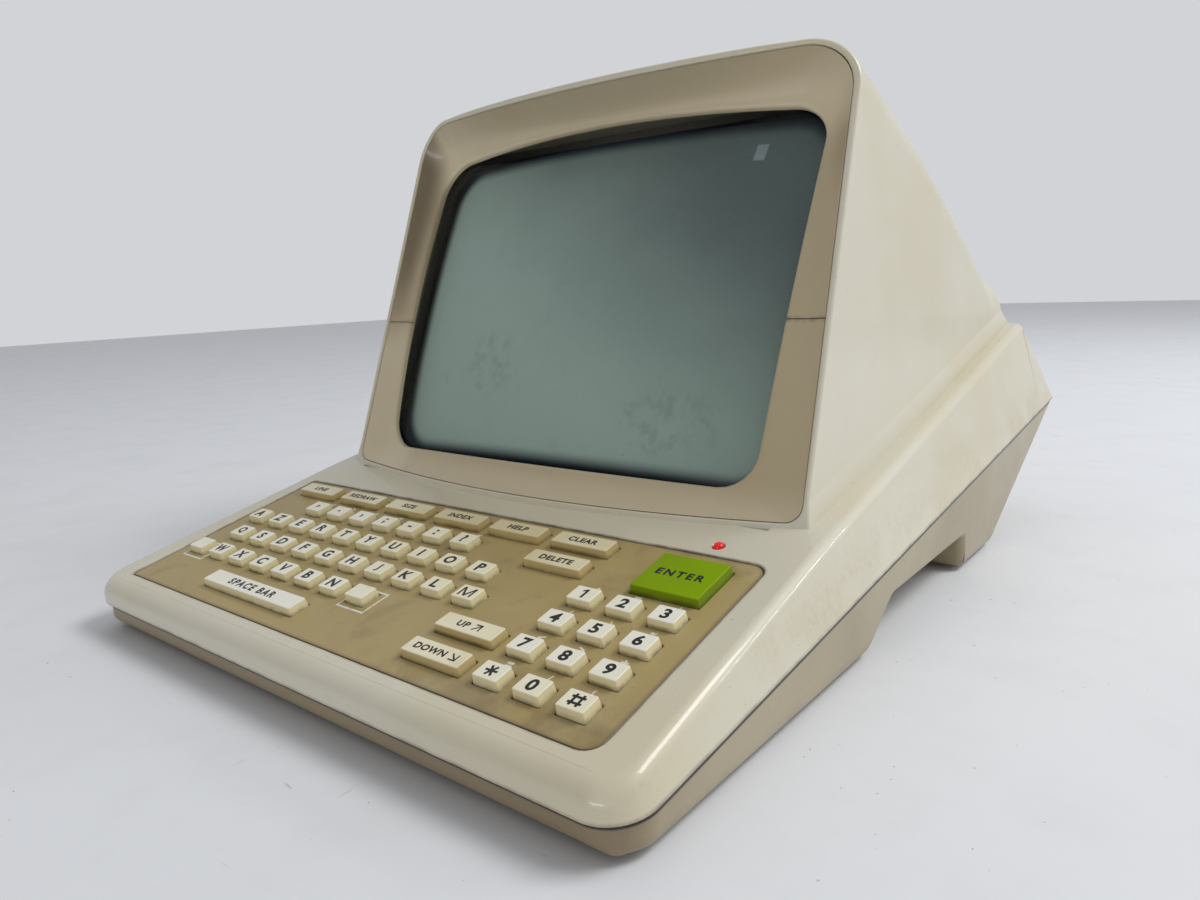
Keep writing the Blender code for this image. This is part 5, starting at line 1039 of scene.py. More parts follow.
# Picture tube: a 9-inch cathode ray tube. Behind its thick tinted face lies the grey-green phosphor, with a
# dark border round it; then come skirt, funnel and neck. Lugs on its steel band hold it in the housing.
FACE_HALF_X, FACE_HALF_UP, FACE_CORNER = 98.5, 70.0, 18.0
FACE_EDGE, SKIRT_DEPTH, FUNNEL_DEPTH = 3.0, 22.0, 75.0
NECK_RADIUS, NECK_LENGTH = 14.5, 70.0
PHOSPHOR_DROP, PHOSPHOR_HALF_X, PHOSPHOR_HALF_UP, PHOSPHOR_CORNER = 7.0, 93.5, 65.0, 17.0
GLASS_TINT = (0.012, 0.018, 0.022, 1)
PHOSPHOR = (0.560, 0.740, 0.640, 1)
PHOSPHOR_DIM = (0.095, 0.135, 0.138, 1)
BORDER = (0.003, 0.012, 0.024, 1)
AQUADAG = (0.020, 0.020, 0.021, 1)
CURSOR = (0.46, 0.56, 0.55, 1)
CURSOR_X, CURSOR_UP = 66.0, 54.0
face_middle = SCREEN.out((0, WINDOW_MIDDLE, LIP_RISE - BEZEL_WALL - 1.0))
TUBE = Plane(face_middle, math.pi / 2 - RIM_TILT - WINDOW_LEAN)


def face_drop(x, up):
    return -(x**2 + up**2) / (2 * WINDOW_CURVE)


def tube_rings():
    """Rings from the middle of the face back along the tube. In the funnel the outline shrinks by a cosine
    and turns into a circle with the square of the distance."""
    outline = middle_rectangle(0, 0, 2 * FACE_HALF_X, 2 * FACE_HALF_UP, FACE_CORNER, 12)
    angle = np.arctan2(outline[:, 1], outline[:, 0])
    circle = np.column_stack((np.cos(angle), np.sin(angle)))

    def ring(flat, out):
        return TUBE.out(np.column_stack((flat, np.broadcast_to(out, len(flat)))))

    rings = []
    for share in np.linspace(0.04, 1, 22):
        flat = outline * share * (1 - FACE_EDGE / FACE_HALF_UP)
        rings.append(ring(flat, face_drop(*flat.T)))
    for turn in np.linspace(0, math.pi / 2, 7)[1:]:
        flat = outline * (1 - FACE_EDGE * (1 - math.sin(turn)) / FACE_HALF_UP)
        rings.append(ring(flat, face_drop(*flat.T) - FACE_EDGE * (1 - math.cos(turn))))
    back = face_drop(FACE_HALF_X, 0) - SKIRT_DEPTH
    rings.append(ring(outline, back))
    neck_share = NECK_RADIUS / FACE_HALF_UP
    for along in np.linspace(0, 1, 16)[1:]:
        scale = neck_share + (1 - neck_share) * (0.5 + 0.5 * math.cos(math.pi * along))
        flat = outline * scale * (1 - along**2) + circle * FACE_HALF_UP * scale * along**2
        rings.append(ring(flat, back - along * FUNNEL_DEPTH))
    end = back - FUNNEL_DEPTH - NECK_LENGTH
    rings += [ring(circle * NECK_RADIUS, end + 1.5), ring(circle * (NECK_RADIUS - 1.5), end)]
    return rings


def tube_frame_place(name):
    """A new material with coordinates on the tube's own axes: across, up the face and out of it."""
    made, place = coordinates(name)
    moved = place.node("VectorMath", {"operation": "SUBTRACT"}, {0: place, 1: tuple(face_middle)})
    axes = [moved.node("VectorMath", {"operation": "DOT_PRODUCT"}, {0: moved, 1: tuple(axis)}, out=1)
            for axis in TUBE.axes]
    return made, axes, place


glass, (across, up, out), place = tube_frame_place("tube_glass")
behind = out.fall(-18, -15)
wipe = place.stretched(0.35, 1, 1).noise(26, detail=4, bend=1.2)
film = place.noise(9, detail=5, roughness=0.7, bend=0.5).rise(0.52, 0.78)
specks = place.noise(0.8, detail=2).rise(0.74, 0.78)
tone = place.mixed(specks * 0.5, place.mixed(behind, GLASS_TINT, AQUADAG), (0.30, 0.30, 0.27, 1))
surface(glass, tone, 0.10 + wipe.rise(0.4, 0.7) * 0.10 + film * 0.14, place.noise(60, detail=2), 0.05,
        Alpha=(0.30 + film * 0.05 + specks * 0.4).most(behind), Coat_Weight=0.35, Coat_Roughness=0.05)
picture_tube = solid("picture_tube_glass", stack(tube_rings()), core=from_case_middle(TUBE.out((0, 0, -40))))
fit_out(settle(picture_tube, 60), glass, "case", "tube_glass", "picture_tube")

screen, (across, up, out), place = tube_frame_place("tube_phosphor")
x, y = abs(across) - PHOSPHOR_HALF_X + PHOSPHOR_CORNER, abs(up) - PHOSPHOR_HALF_UP + PHOSPHOR_CORNER
corner = (x.most(0) ** 2 + y.most(0) ** 2) ** 0.5 + x.most(y).least(0)
lit = corner.fall(PHOSPHOR_CORNER - 5.5, PHOSPHOR_CORNER + 1.0)
# Painted shade: the phosphor darkens towards the top and the right.
dim = (across * 0.55 + up * 0.75 + place.noise(60, detail=2) * 30).rise(-15, 85)
tone = place.mixed(dim * 0.85, PHOSPHOR, PHOSPHOR_DIM)
smudge = ((across - 50) * 0.05) ** 2 + ((up + 46) * 0.08) ** 2
blot = ((across + 42) * 0.06) ** 2 + ((up + 27) * 0.07) ** 2
smears = smudge.fall(0.2, 1.6) + blot.fall(0.2, 1.5)
broken = place.noise(5, detail=4, roughness=0.6).rise(0.42, 0.66)
tone = place.mixed(smears * broken * 0.22, tone, PHOSPHOR_DIM)
tone = place.mixed(place.noise(0.45, detail=1).rise(0.35, 0.65) * 0.06, tone, CURSOR)
leaning = across - CURSOR_X - (up - CURSOR_UP) * 0.12
block = (abs(leaning) - 2.1).most(abs(up - CURSOR_UP) - 3.1).fall(-0.4, 0.4)
tone = place.mixed(block * 0.85, tone, CURSOR)
glow = place.mixed(lit, BORDER, tone)
# The faint emission is a painted glow that brightens the phosphor as if it were lit.
surface(screen, glow, 0.65, place.noise(0.4, detail=2), 0.01, Emission_Color=glow, Emission_Strength=0.06)
rows = np.linspace(-1, 1, 25)[:, None] * (FACE_HALF_UP - 4)
columns = np.linspace(-1, 1, 33)[None, :] * (FACE_HALF_X - 4)
flat = np.stack(np.broadcast_arrays(columns, rows, face_drop(columns, rows) - PHOSPHOR_DROP), axis=-1)
rear = flat - (0, 0, 1)
edge = [np.concatenate((face[0], face[1:, -1], face[-1, -2::-1], face[-2:0:-1, 0])) for face in (flat, rear)]
phosphor_faces = [sheet(TUBE.out(face)) for face in (flat, rear)]
phosphor = solid("picture_tube_phosphor", *phosphor_faces, sheet(TUBE.out(np.stack(edge)), close=True))
phosphor.data.shade_smooth()
phosphor.data.set_sharp_from_angle(angle=math.radians(40))
fit_out(phosphor, screen, "case", "tube_glass")

# Lamp: a red light emitting diode with a domed tip. It stands a millimetre through the deck, and glows.
LAMP_RED = (0.42, 0.006, 0.010, 1)
LAMP_PALE = (0.60, 0.03, 0.03, 1)
GLOW_EDGE, GLOW_HEART = (0.60, 0.002, 0.004, 1), (0.9, 0.015, 0.02, 1)
LAMP_BODY, LAMP_DOME = LAMP_RADIUS + 0.7, 1.15
lamp_red, place = coordinates("red_lamp")
x, y, z = place.parts()
aside = ((x - LAMP_X) ** 2 + (y - PLATE_SETBACK - LAMP_ROW * math.cos(DECK_SLOPE)) ** 2) ** 0.5
heart, swirl = aside.fall(0.2, 1.7), place.noise(1.2, detail=3)
surface(lamp_red, place.mixed(heart * 0.35 + swirl * 0.15, LAMP_RED, LAMP_PALE), 0.22 + swirl * 0.1,
        place.noise(1.0, detail=2), 0.02, Coat_Weight=0.3, Coat_Roughness=0.08,
        Emission_Color=place.mixed(heart, GLOW_EDGE, GLOW_HEART), Emission_Strength=0.45)


def turned(plane, x, y, profile, steps=48):
    """Rings about a plane's normal at a place on it, from (radius, height) pairs."""
    return np.stack([lifted(plane, disc(x, y, radius, steps), height) for radius, height in profile])


profile = [(LAMP_BODY, -8), (LAMP_BODY, -3), (LAMP_RADIUS, -2.8), (LAMP_RADIUS, -0.1)]
for turn in np.linspace(0, 0.93 * math.pi / 2, 9):
    profile.append((LAMP_RADIUS * math.cos(turn), LAMP_DOME * math.sin(turn)))
lamp_dome = solid("status_lamp_dome", stack(turned(DECK, LAMP_X, LAMP_ROW, profile, 40)))
fit_out(settle(lamp_dome), lamp_red, "case", "red_lamp", "status_led")

# Legends: black letters and numbers printed on the caps, plain English words on the function keys, and
# small white signs printed on the plate behind the number keys, where the caps half hide them.
INK_BLACK, INK_WORN = (0.010, 0.010, 0.010, 1), (0.07, 0.065, 0.055, 1)
INK_LIFT, INK_THICKNESS, INK_STROKE, INK_WEIGHT = 0.02, 0.05, 0.72, 0.034
LETTER_HEIGHT, NUMBER_HEIGHT, SIGN_HEIGHT, WORD_HEIGHT = 4.1, 4.2, 4.3, 2.5
SMALL_SIGNS = {",": 2.0, ".": 1.1, "'": 1.8, ";": 3.6, ":": 3.2, "-": 0.9}
WORD_WIDTH, LETTER_WIDTH, WORD_SPACING, WIDE_SPACING = 20.5, 5.8, 1.12, 1.35
STAR_REACH, HASH_REACH, HASH_PITCH = 4.1, 4.1, 2.1
ARROW_SHIFT, ARROW_GAP = 2.2, 3.1
PLATE_SIGN, SEND_RING, PLATE_SIGN_SETBACK = (2.2, 2.2), (1.5, 1.6), 6.2
NUMBER_SIGNS, ROW_SIGNS = "=/(<>+()%+=/", "<>+=()%"
KEY_WORDS = {
    "connect": "LINE", "repeat": "REDRAW", "zoom": "SIZE", "index": "INDEX", "guide": "HELP", "cancel": "CLEAR",
    "next": "DOWN", "back": "UP", "correction": "DELETE", "space": "SPACE BAR", "send": "ENTER"}
WIDE_WORDS = {"space": (3.2, 27.0), "send": (3.1, 15.8)}


def printed_ink(name, colour, under, size, low, high, share, roughness):
    """Thin matt ink, worn through in patches of this size wherever its noise is above low to high."""
    made, place = coordinates(name)
    worn = place.noise(size, detail=4, roughness=0.7).rise(low, high)
    tone = place.mixed(worn * share, colour, under)
    return surface(made, tone, roughness + worn * 0.2, place.noise(0.2, detail=2), 0.004)


ink = printed_ink("legend_ink", INK_BLACK, INK_WORN, 0.9, 0.60, 0.78, 0.30, 0.45)
white_ink = printed_ink("plate_ink", INK_WHITE, KHAKI, 0.7, 0.50, 0.75, 0.50, 0.5)


def letters(word, height, widest, spread=WORD_SPACING):
    """Flat outlines of a word as vertices and faces: x is centred on the word, y on its height."""
    curve = bpy.data.curves.new("legend", "FONT")
    curve.body, curve.size, curve.offset, curve.space_character = word, 1.0, INK_WEIGHT, spread
    curve.extrude, curve.resolution_u = 0.01, 5
    holder = bpy.data.objects.new("legend", curve)
    bpy.context.scene.collection.objects.link(holder)
    mesh = bpy.data.meshes.new_from_object(holder.evaluated_get(bpy.context.evaluated_depsgraph_get()))
    points = np.zeros(len(mesh.vertices) * 3)
    mesh.vertices.foreach_get("co", points)
    points = points.reshape(-1, 3)
    faces = [list(polygon.vertices) for polygon in mesh.polygons]
    bpy.data.objects.remove(holder)
    middle, size = (points.max(0) + points.min(0)) / 2, np.ptp(points, axis=0)
    tall = height / size[1]
    return (points - middle) * (min(tall * 1.08, widest / size[0]), tall, INK_THICKNESS / size[2]), faces


def flat_shape(outline, lift=0.0):
    """A printed shape from its outline: a thin slab, lifted out of the plane of a stroke that it crosses."""
    outline = np.array(outline)
    levels = (lift - INK_THICKNESS / 2, lift + INK_THICKNESS / 2)
    return stack([np.column_stack((outline, np.full(len(outline), level))) for level in levels])


def stroke(x, y, angle, length, lift):
    """One straight stroke of a printed sign, centred on x and y and turned by an angle in degrees."""
    along = np.array((math.cos(math.radians(angle)), math.sin(math.radians(angle))))
    across = np.array((-along[1], along[0])) * INK_STROKE / 2
    ends = np.array((along, along, -along, -along)) * length / 2
    return flat_shape(ends + (across * -1, across, across, across * -1) + (x, y), lift)


def arrow(x, down):
    """A slanted arrow beside a word: a diagonal shaft that ends in a corner at the upper or lower right."""
    outline = np.array(((-1.4, -1.05), (-1.1, -1.4), (0.95, 0.62), (0.95, -1.2), (1.4, -1.2), (1.4, 1.4),
                        (-1.2, 1.4), (-1.2, 0.95), (0.62, 0.95)))
    return flat_shape(outline * (1, -1 if down else 1) + (x, 0))


half_m = np.array(((0.32, -2.05), (2.0, 1.0), (2.0, -2.05), (2.65, -2.05), (2.65, 2.05), (1.85, 2.05)))
one = ((0.0, -2.1), (0.75, -2.1), (0.75, 2.1), (0.25, 2.1), (-0.95, 1.35), (-0.95, 0.75), (0.0, 1.15))
own_shapes = {
    "M": [flat_shape(np.concatenate((half_m * (-1, 1), ((0, -1.1),), half_m[::-1])))],
    "1": [flat_shape(one)],
    "star": [stroke(0, 0, angle, STAR_REACH, 0.002 * angle / 60) for angle in (0, 60, 120)],
    "hash": [stroke(side * HASH_PITCH / 2, 0, 90, HASH_REACH, 0) for side in (-1, 1)]
    + [stroke(0, side * HASH_PITCH / 2, 0, HASH_REACH, 0.002) for side in (-1, 1)],
}


def legend(word, tall):
    """The printed shapes of one small cap: its own ones where it has them, or the font's."""
    return own_shapes.get(word) or [letters(word, SMALL_SIGNS.get(word, tall), LETTER_WIDTH)]


def print_caps(body, prints):
    """Lays printed shapes on their caps: each one's height follows the dish of the cap it stands on."""
    parts = []
    for (points, faces), (x, run, width, depth) in prints:
        height = key_top(points[:, 0], points[:, 1], width, depth) + INK_LIFT + points[:, 2]
        parts.append((DECK.out(np.column_stack((points[:, 0] + x, points[:, 1] + run, height))), faces))
    fit_out(solid(f"{body}_legends", *parts), ink, body, "black_plastic")


for body, (start, legends) in LETTER_ROWS.items():
    tall = SIGN_HEIGHT if body == "punctuation" else LETTER_HEIGHT
    places = [(word, place) for word, place in zip(legends, row_places[body]) if word != " "]
    print_caps(body, [(shape, place) for word, place in places for shape in legend(word, tall)])
for name, place in number_places.items():
    body = f"digit_{name}" if name.isdigit() else name
    print_caps(body, [(shape, place) for shape in legend(name, NUMBER_HEIGHT)])
for body, place in wide_places.items():
    tall, widest = WIDE_WORDS.get(body, (WORD_HEIGHT, WORD_WIDTH))
    points, faces = letters(KEY_WORDS[body], tall, widest, WIDE_SPACING if body in WIDE_WORDS else WORD_SPACING)
    if body in ("next", "back"):
        points = points - (ARROW_SHIFT, 0, 0)
        slanted = arrow(points[:, 0].max() + ARROW_GAP, body == "next")
        print_caps(body, [((points, faces), place), (slanted, place)])
    else:
        print_caps(body, [((points, faces), place)])

plate_prints = [(sign, *PLATE_SIGN, x - 0.4, run + PLATE_SIGN_SETBACK)
                for sign, (x, run, width, depth) in zip(NUMBER_SIGNS, number_places.values())]
plate_prints += [(sign, *PLATE_SIGN, x, run + PLATE_SIGN_SETBACK)
                 for sign, (x, run, width, depth) in zip(ROW_SIGNS, row_places["punctuation"])]
send_x, send_edge = SEND_PLACE[0] - 0.6, SEND_PLACE[1] + SEND_SIZE[1] / 2
plate_prints += [("o", *SEND_RING, send_x + side * 1.7, send_edge + 3.0) for side in (-1, 1)]
plate_parts = []
for sign, tall, widest, x, run in plate_prints:
    points, faces = letters(sign, tall, widest)
    plate_parts.append((DECK.out(points + (x, run, plate_top + INK_THICKNESS / 2 - 0.01)), faces))
fit_out(solid("plate_signs", *plate_parts), white_ink, "case", "khaki_plate")

# Controls on the sloping back: a black power button, a ribbed brightness knob with a white pointer, a round
# accessory socket with five contacts, and two rubber glands that the mains and telephone cords pass through.
BLACK, BLACK_WORN = (0.020, 0.020, 0.021, 1), (0.050, 0.047, 0.043, 1)
RUBBER, RUBBER_WORN = (0.016, 0.016, 0.016, 1), (0.045, 0.042, 0.038, 1)
TIN, TIN_DULL = (0.62, 0.60, 0.55, 1), (0.40, 0.37, 0.31, 1)
MARK_CHIPPED = (0.35, 0.33, 0.29, 1)
CONTROL_CREASE = 35
BUTTON_RISE, BUTTON_DEPTH, BUTTON_EDGE, BUTTON_DISH = 4.5, 4.1, 0.8, 0.5
BUTTON_FLANGE, BUTTON_PLAY, BUTTON_CORNER = 0.9, -0.2, 1.6
KNOB_RADIUS, KNOB_RISE, KNOB_RIBS, KNOB_GROOVE, KNOB_EDGE = 7.5, 5.5, 18, 0.5, 0.9
POINTER_WIDTH, POINTER_START, POINTER_END = 0.7, 2.2, 6.3
SOCKET_RIM, SOCKET_BORE, SOCKET_DEPTH, SOCKET_PINS = 9.4, 6.2, 11.0, 5
SOCKET_FLOOR, PIN_CIRCLE, PIN_RADIUS = -4.6, 3.6, 0.55
GLAND_FLANGE, GLAND_RISE, GLAND_BORE, GLAND_SEAT = 7.0, 4.0, 2.0, -4.9


def arc_profile(centre_radius, centre_height, radius, start, end, steps=6):
    """(radius, height) pairs of an arc whose angles, in degrees, count from straight outward to straight up."""
    angles = np.radians(np.linspace(start, end, steps))
    return list(zip(centre_radius + radius * np.cos(angles), centre_height + radius * np.sin(angles)))


def control(name, parts, *ties, core=None):
    """Makes a piece of the back or the sole from its parts and fits it out."""
    fit_out(settle(solid(name, *parts, core=core), CONTROL_CREASE), *ties)


black = plastic("black_plastic", BLACK, BLACK_WORN, 0.40, grain=0.3, depth=0.01, wear=0.1,
                Coat_Weight=0.1, Coat_Roughness=0.25)
rubber = plastic("black_rubber", RUBBER, RUBBER_WORN, 0.78, grain=0.22, depth=0.02, wear=0.05)
bright, place = coordinates("contact_metal")
brush = place.stretched(1, 1, 0.1).noise(0.5, detail=4)
surface(bright, place.mixed(brush * 0.4, TIN, TIN_DULL), 0.28 + brush * 0.2, brush, 0.006, Metallic=1.0)

rings = [(-BUTTON_DEPTH, BUTTON_FLANGE), (-3.0, BUTTON_FLANGE), (-2.9, BUTTON_PLAY),
         (BUTTON_RISE - BUTTON_EDGE, BUTTON_PLAY)]
for turn in np.linspace(0, math.pi / 2, 7)[1:]:
    drawn = BUTTON_EDGE * (1 - math.cos(turn))
    rings.append((BUTTON_RISE - BUTTON_EDGE * (1 - math.sin(turn)), BUTTON_PLAY - drawn))
for share in np.linspace(0, 1, 7)[1:]:
    sunk = BUTTON_DISH * math.sin(share * math.pi / 2)
    rings.append((BUTTON_RISE - sunk, BUTTON_PLAY - BUTTON_EDGE - 3.2 * share))
button_outline = middle_rectangle(POWER_X, 0, POWER_WIDTH, POWER_HEIGHT, BUTTON_CORNER)
control("power_button_cap", [prism(BACK, button_outline, *rings)],
        black, "power", "black_plastic", "power_button")

angles = np.arange(KNOB_RIBS * 10) * math.tau / (KNOB_RIBS * 10)
groove = KNOB_GROOVE / KNOB_RADIUS * (0.5 + 0.5 * np.cos(angles * KNOB_RIBS)) ** 3
edge_height = KNOB_RISE - KNOB_EDGE
knob_profile = [(KNOB_RADIUS - 0.3, 0.4, 1), (KNOB_RADIUS, 0.8, 1), (KNOB_RADIUS - 0.1, edge_height, 1)]
knob_edge = arc_profile(KNOB_RADIUS - KNOB_EDGE - 0.1, edge_height, KNOB_EDGE, 0, 90)
knob_profile += [(radius, height, 0.4) for radius, height in knob_edge[1:]]
face_height = KNOB_RISE - 0.35
knob_profile += [(KNOB_RADIUS - 2.0, KNOB_RISE, 0), (KNOB_RADIUS - 2.6, face_height, 0), (1.0, face_height, 0)]
knob_rings = []
for radius, height, share in knob_profile:
    reach = radius * (1 - groove * share)
    outline = np.column_stack((KNOB_X + reach * np.cos(angles), reach * np.sin(angles)))
    knob_rings.append(lifted(BACK, outline, height))
shaft = stack(turned(BACK, KNOB_X, 0, [(SHAFT_RADIUS, -6.4), (SHAFT_RADIUS, KNOB_RISE / 2)]))
control("brightness_knob_cap", [stack(knob_rings), shaft],
        black, "brightness", "black_plastic", "brightness_knob")
white_mark, place = coordinates("white_mark")
chips = place.noise(0.6, detail=4, roughness=0.7)
tone = place.mixed(chips.rise(0.55, 0.75) * 0.5, INK_WHITE, MARK_CHIPPED)
surface(white_mark, tone, 0.5 + chips * 0.2, chips, 0.006)
pointer = rounded_rectangle(
    (KNOB_X - POINTER_WIDTH / 2, POINTER_START), (KNOB_X + POINTER_WIDTH / 2, POINTER_END), [0.3] * 4, 4)
pointer_slab = prism(BACK, pointer, KNOB_RISE - 1.2, KNOB_RISE + 0.04)
control("brightness_pointer", [pointer_slab], white_mark, "brightness", "ivory_key")

profile = [(SOCKET_BORE, 1.2), *arc_profile(SOCKET_BORE + 0.5, 1.2, 0.5, 180, 90)[1:]]
profile += [*arc_profile(SOCKET_RIM - 0.7, 0.95, 0.7, 90, 0), (SOCKET_RIM, 0.3), (SOCKET_RADIUS, 0.3)]
profile += [(SOCKET_RADIUS, -SOCKET_DEPTH), (0.4, -SOCKET_DEPTH)]
profile += [(0.4, SOCKET_FLOOR), (SOCKET_BORE, SOCKET_FLOOR)]
socket_core = from_case_middle(BACK.out((SOCKET_X, 0, -6)))
control("accessory_socket_shell", [closed_tube(turned(BACK, SOCKET_X, 0, profile, 64))],
        black, "case", "black_plastic", "accessory_socket", core=socket_core)
pins = []
pin_profile = [(PIN_RADIUS, -5.2), (PIN_RADIUS, -1.6), (0.42, -1.2), (0.15, -1.05)]
for angle in np.radians(np.linspace(-30, 210, SOCKET_PINS)):
    pin_x, pin_y = SOCKET_X + PIN_CIRCLE * math.cos(angle), PIN_CIRCLE * math.sin(angle)
    pins.append(stack(turned(BACK, pin_x, pin_y, pin_profile, 14)))
control("accessory_socket_pins", pins, bright, "case", "zinc_steel")

for name, x in (("mains", MAINS_X), ("phone", PHONE_X)):
    profile = [(GLAND_BORE, GLAND_SEAT), (GLAND_FLANGE, GLAND_SEAT), (GLAND_FLANGE, GLAND_SEAT + 2)]
    profile += [(GLAND_NECK, GLAND_SEAT + 2), (GLAND_NECK, 0.3), (GLAND_FLANGE - 0.3, 0.3)]
    profile += arc_profile(GLAND_FLANGE - 0.6, 1.0, 0.6, 0, 90)
    ridge = GLAND_NECK + 0.1
    for level in (2.2, 2.9, 3.5):
        profile += [(GLAND_NECK - 0.4, level - 0.45), (ridge, level - 0.2), (ridge, level)]
    profile += [(GLAND_NECK - 0.7, GLAND_RISE), (GLAND_BORE + 0.5, GLAND_RISE), (GLAND_BORE, GLAND_RISE - 0.5)]
    control(f"{name}_gland_sleeve", [closed_tube(turned(BACK, x, 0, profile))],
            rubber, "case", "black_rubber", f"{name}_gland", core=from_case_middle(BACK.out((x, 0, 0))))

# Feet: four round rubber pads under the lower shell, each with a rounded edge and a ring moulded in its sole.
FOOT_RADIUS, FOOT_HEIGHT, FOOT_EDGE = 7.5, 1.7, 0.6
FOOT_X, FOOT_ROWS = 100.0, (22.0, 246.0)
foot_places = [(side * FOOT_X, y) for y in FOOT_ROWS for side in (-1, 1)]
profile = [(1.5, 0.25), (3.6, 0.25), (4.0, 0.0), (5.0, 0.0), (FOOT_RADIUS - 0.8, 0.0)]
profile += [*arc_profile(FOOT_RADIUS - FOOT_EDGE, FOOT_EDGE, FOOT_EDGE, -80, 0), (FOOT_RADIUS, FOOT_HEIGHT)]
for number, (x, y) in enumerate(foot_places, 1):
    control(f"foot_{number}", [stack(turned(TABLE, x, y, profile))],
            rubber, "case", "black_rubber", f"rubber_pad_{number}")

# Inside: the tube's band and deflection coils, the boards and what stands on them, the contact sheet, the
# controls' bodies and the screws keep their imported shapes, and each gets the finish of its real material.
COPPER, VARNISH, FERRITE = (0.44, 0.17, 0.07, 1), (0.20, 0.06, 0.025, 1), (0.030, 0.029, 0.028, 1)
MASK_GREEN, MASK_DARK = (0.030, 0.110, 0.045, 1), (0.016, 0.060, 0.028, 1)
TRACK_GREEN, SOLDER, HOLE_SHADE = (0.085, 0.230, 0.080, 1), (0.56, 0.56, 0.54, 1), (0.01, 0.01, 0.01, 1)
ZINC, ZINC_DULL = (0.60, 0.60, 0.58, 1), (0.36, 0.34, 0.30, 1)
ALUMINIUM, ALUMINIUM_DULL = (0.74, 0.75, 0.76, 1), (0.50, 0.50, 0.50, 1)
STEEL, STEEL_DARK = (0.30, 0.29, 0.28, 1), (0.09, 0.085, 0.08, 1)
RUST, TAPE = (0.16, 0.075, 0.035, 1), (0.42, 0.30, 0.10, 1)
RESIN, RESIN_PALE = (0.030, 0.024, 0.020, 1), (0.060, 0.048, 0.036, 1)
FILM_CLEAR, FILM_AGED = (0.55, 0.56, 0.50, 1), (0.42, 0.42, 0.36, 1)
SILVER, CARBON = (0.62, 0.62, 0.60, 1), (0.022, 0.022, 0.024, 1)
HOUSING_BLACK = (0.045, 0.045, 0.048, 1)
WIRE_PITCH, WIRE_RADIUS, HOLE_PITCH, TRACK_PITCH = 0.6, 27.0, 2.54, 1.27
YOKE_CORE, YOKE_BELL = -121.0, -106.0


def dress(material, *nodes):
    """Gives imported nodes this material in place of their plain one."""
    for node in nodes:
        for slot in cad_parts[node].material_slots:
            slot.material = material


def metal(name, colour, dull, roughness, lines):
    """Drawn or rolled metal: fine lines stretched along one way, and broad clouds of tarnish."""
    made, place = coordinates(name)
    brushed = place.stretched(*lines).noise(0.35, detail=4, roughness=0.6)
    tarnish = place.noise(11, detail=5, roughness=0.65).rise(0.42, 0.72)
    tone = place.mixed(tarnish * 0.6, place.mixed(brushed * 0.25, colour, dull), dull)
    return surface(made, tone, roughness + tarnish * 0.2 + brushed * 0.08, brushed, 0.008, Metallic=1.0)


def board(name, lift):
    """Circuit board: solder pads on a grid of tenths of an inch, joined by tracks that run along or across."""
    made, place = coordinates(name)
    x, y, z = place.parts()
    y = y + z * lift
    pad = x.near(HOLE_PITCH) ** 2 + y.near(HOLE_PITCH) ** 2
    patch = place.stretched(1, 1, 0).noise(7, detail=0).rise(0.47, 0.50)
    pads, holes = pad.fall(0.45, 0.62) * patch, pad.fall(0.10, 0.16) * patch
    way = place.noise(16, detail=1).rise(0.49, 0.51)
    broken = place.stretched(0.3, 0.3, 0.3).noise(3, detail=0).rise(0.44, 0.47)
    along, across = (value.near(TRACK_PITCH).fall(0.16, 0.24) for value in (x, y))
    tracks = (along * way + across * (1 - way)) * broken
    tone = place.mixed(place.noise(25, detail=3).rise(0.4, 0.7) * 0.7, MASK_GREEN, MASK_DARK)
    tone = place.mixed(tracks * 0.55, tone, TRACK_GREEN)
    # Painted shade marks the drilled holes in the pads.
    tone = place.mixed(holes, place.mixed(pads, tone, SOLDER), HOLE_SHADE)
    return surface(made, tone, 0.35 - pads * 0.1 + place.noise(2, detail=3) * 0.1, pads + tracks * 0.4, 0.05,
                   Metallic=pads * 0.8, Coat_Weight=0.3, Coat_Roughness=0.15)


dress(metal("zinc_steel", ZINC, ZINC_DULL, 0.32, (1, 1, 0.15)),
      "tension_band", "brightness_dial", *[f"case_screw_{number}" for number in range(1, 5)])
dress(metal("fin_aluminium", ALUMINIUM, ALUMINIUM_DULL, 0.30, (1, 1, 0.08)), "heat_sink")
dress(board("green_board", 0), "main_board")
dress(board("key_board", math.tan(DECK_SLOPE)), "keyboard_board")
dress(board("tube_board", 1.4), "neck_board")

winding, (across, up, out), place = tube_frame_place("copper_winding")
wires = (up.maths("ARCTAN2", up, across) * (2 * WIRE_RADIUS / WIRE_PITCH)).wave()
bell = out.rise(YOKE_BELL, YOKE_BELL + 1)
core = abs(out - YOKE_CORE).fall(8.0, 8.6)
wound = (1 - core) * (1 - bell)
tone = place.mixed(wires.rise(-0.6, 0.6) * 0.6 + place.noise(8, detail=4) * 0.3, COPPER, VARNISH)
tone = place.mixed(bell, place.mixed(core, tone, FERRITE), HOUSING_BLACK)
surface(winding, tone, 0.30 + core * 0.35 + place.noise(4, detail=4) * 0.12,
        wires * wound + place.noise(0.5, detail=3) * 0.3, 0.10,
        Metallic=wound * 0.55, Coat_Weight=0.4, Coat_Roughness=0.2)
dress(winding, "deflection_yoke")

laminated, place = coordinates("laminated_core")
x, y, z = place.parts()
stacked = (x * 9).wave()
wound = z.rise(32, 32.6) * z.fall(55.4, 56) * abs(y - 228).rise(15.5, 16)
rust = place.noise(5, detail=5, roughness=0.7).rise(0.5, 0.75)
tone = place.mixed(stacked.rise(0.2, 0.9) * 0.6, STEEL, STEEL_DARK)
tone = place.mixed(wound, place.mixed(rust * 0.5, tone, RUST), TAPE)
surface(laminated, tone, 0.42 + rust * 0.25, stacked * (1 - wound) + place.noise(0.6, detail=3) * 0.3, 0.06,
        Metallic=(1 - wound) * 0.7)
dress(laminated, "mains_transformer")

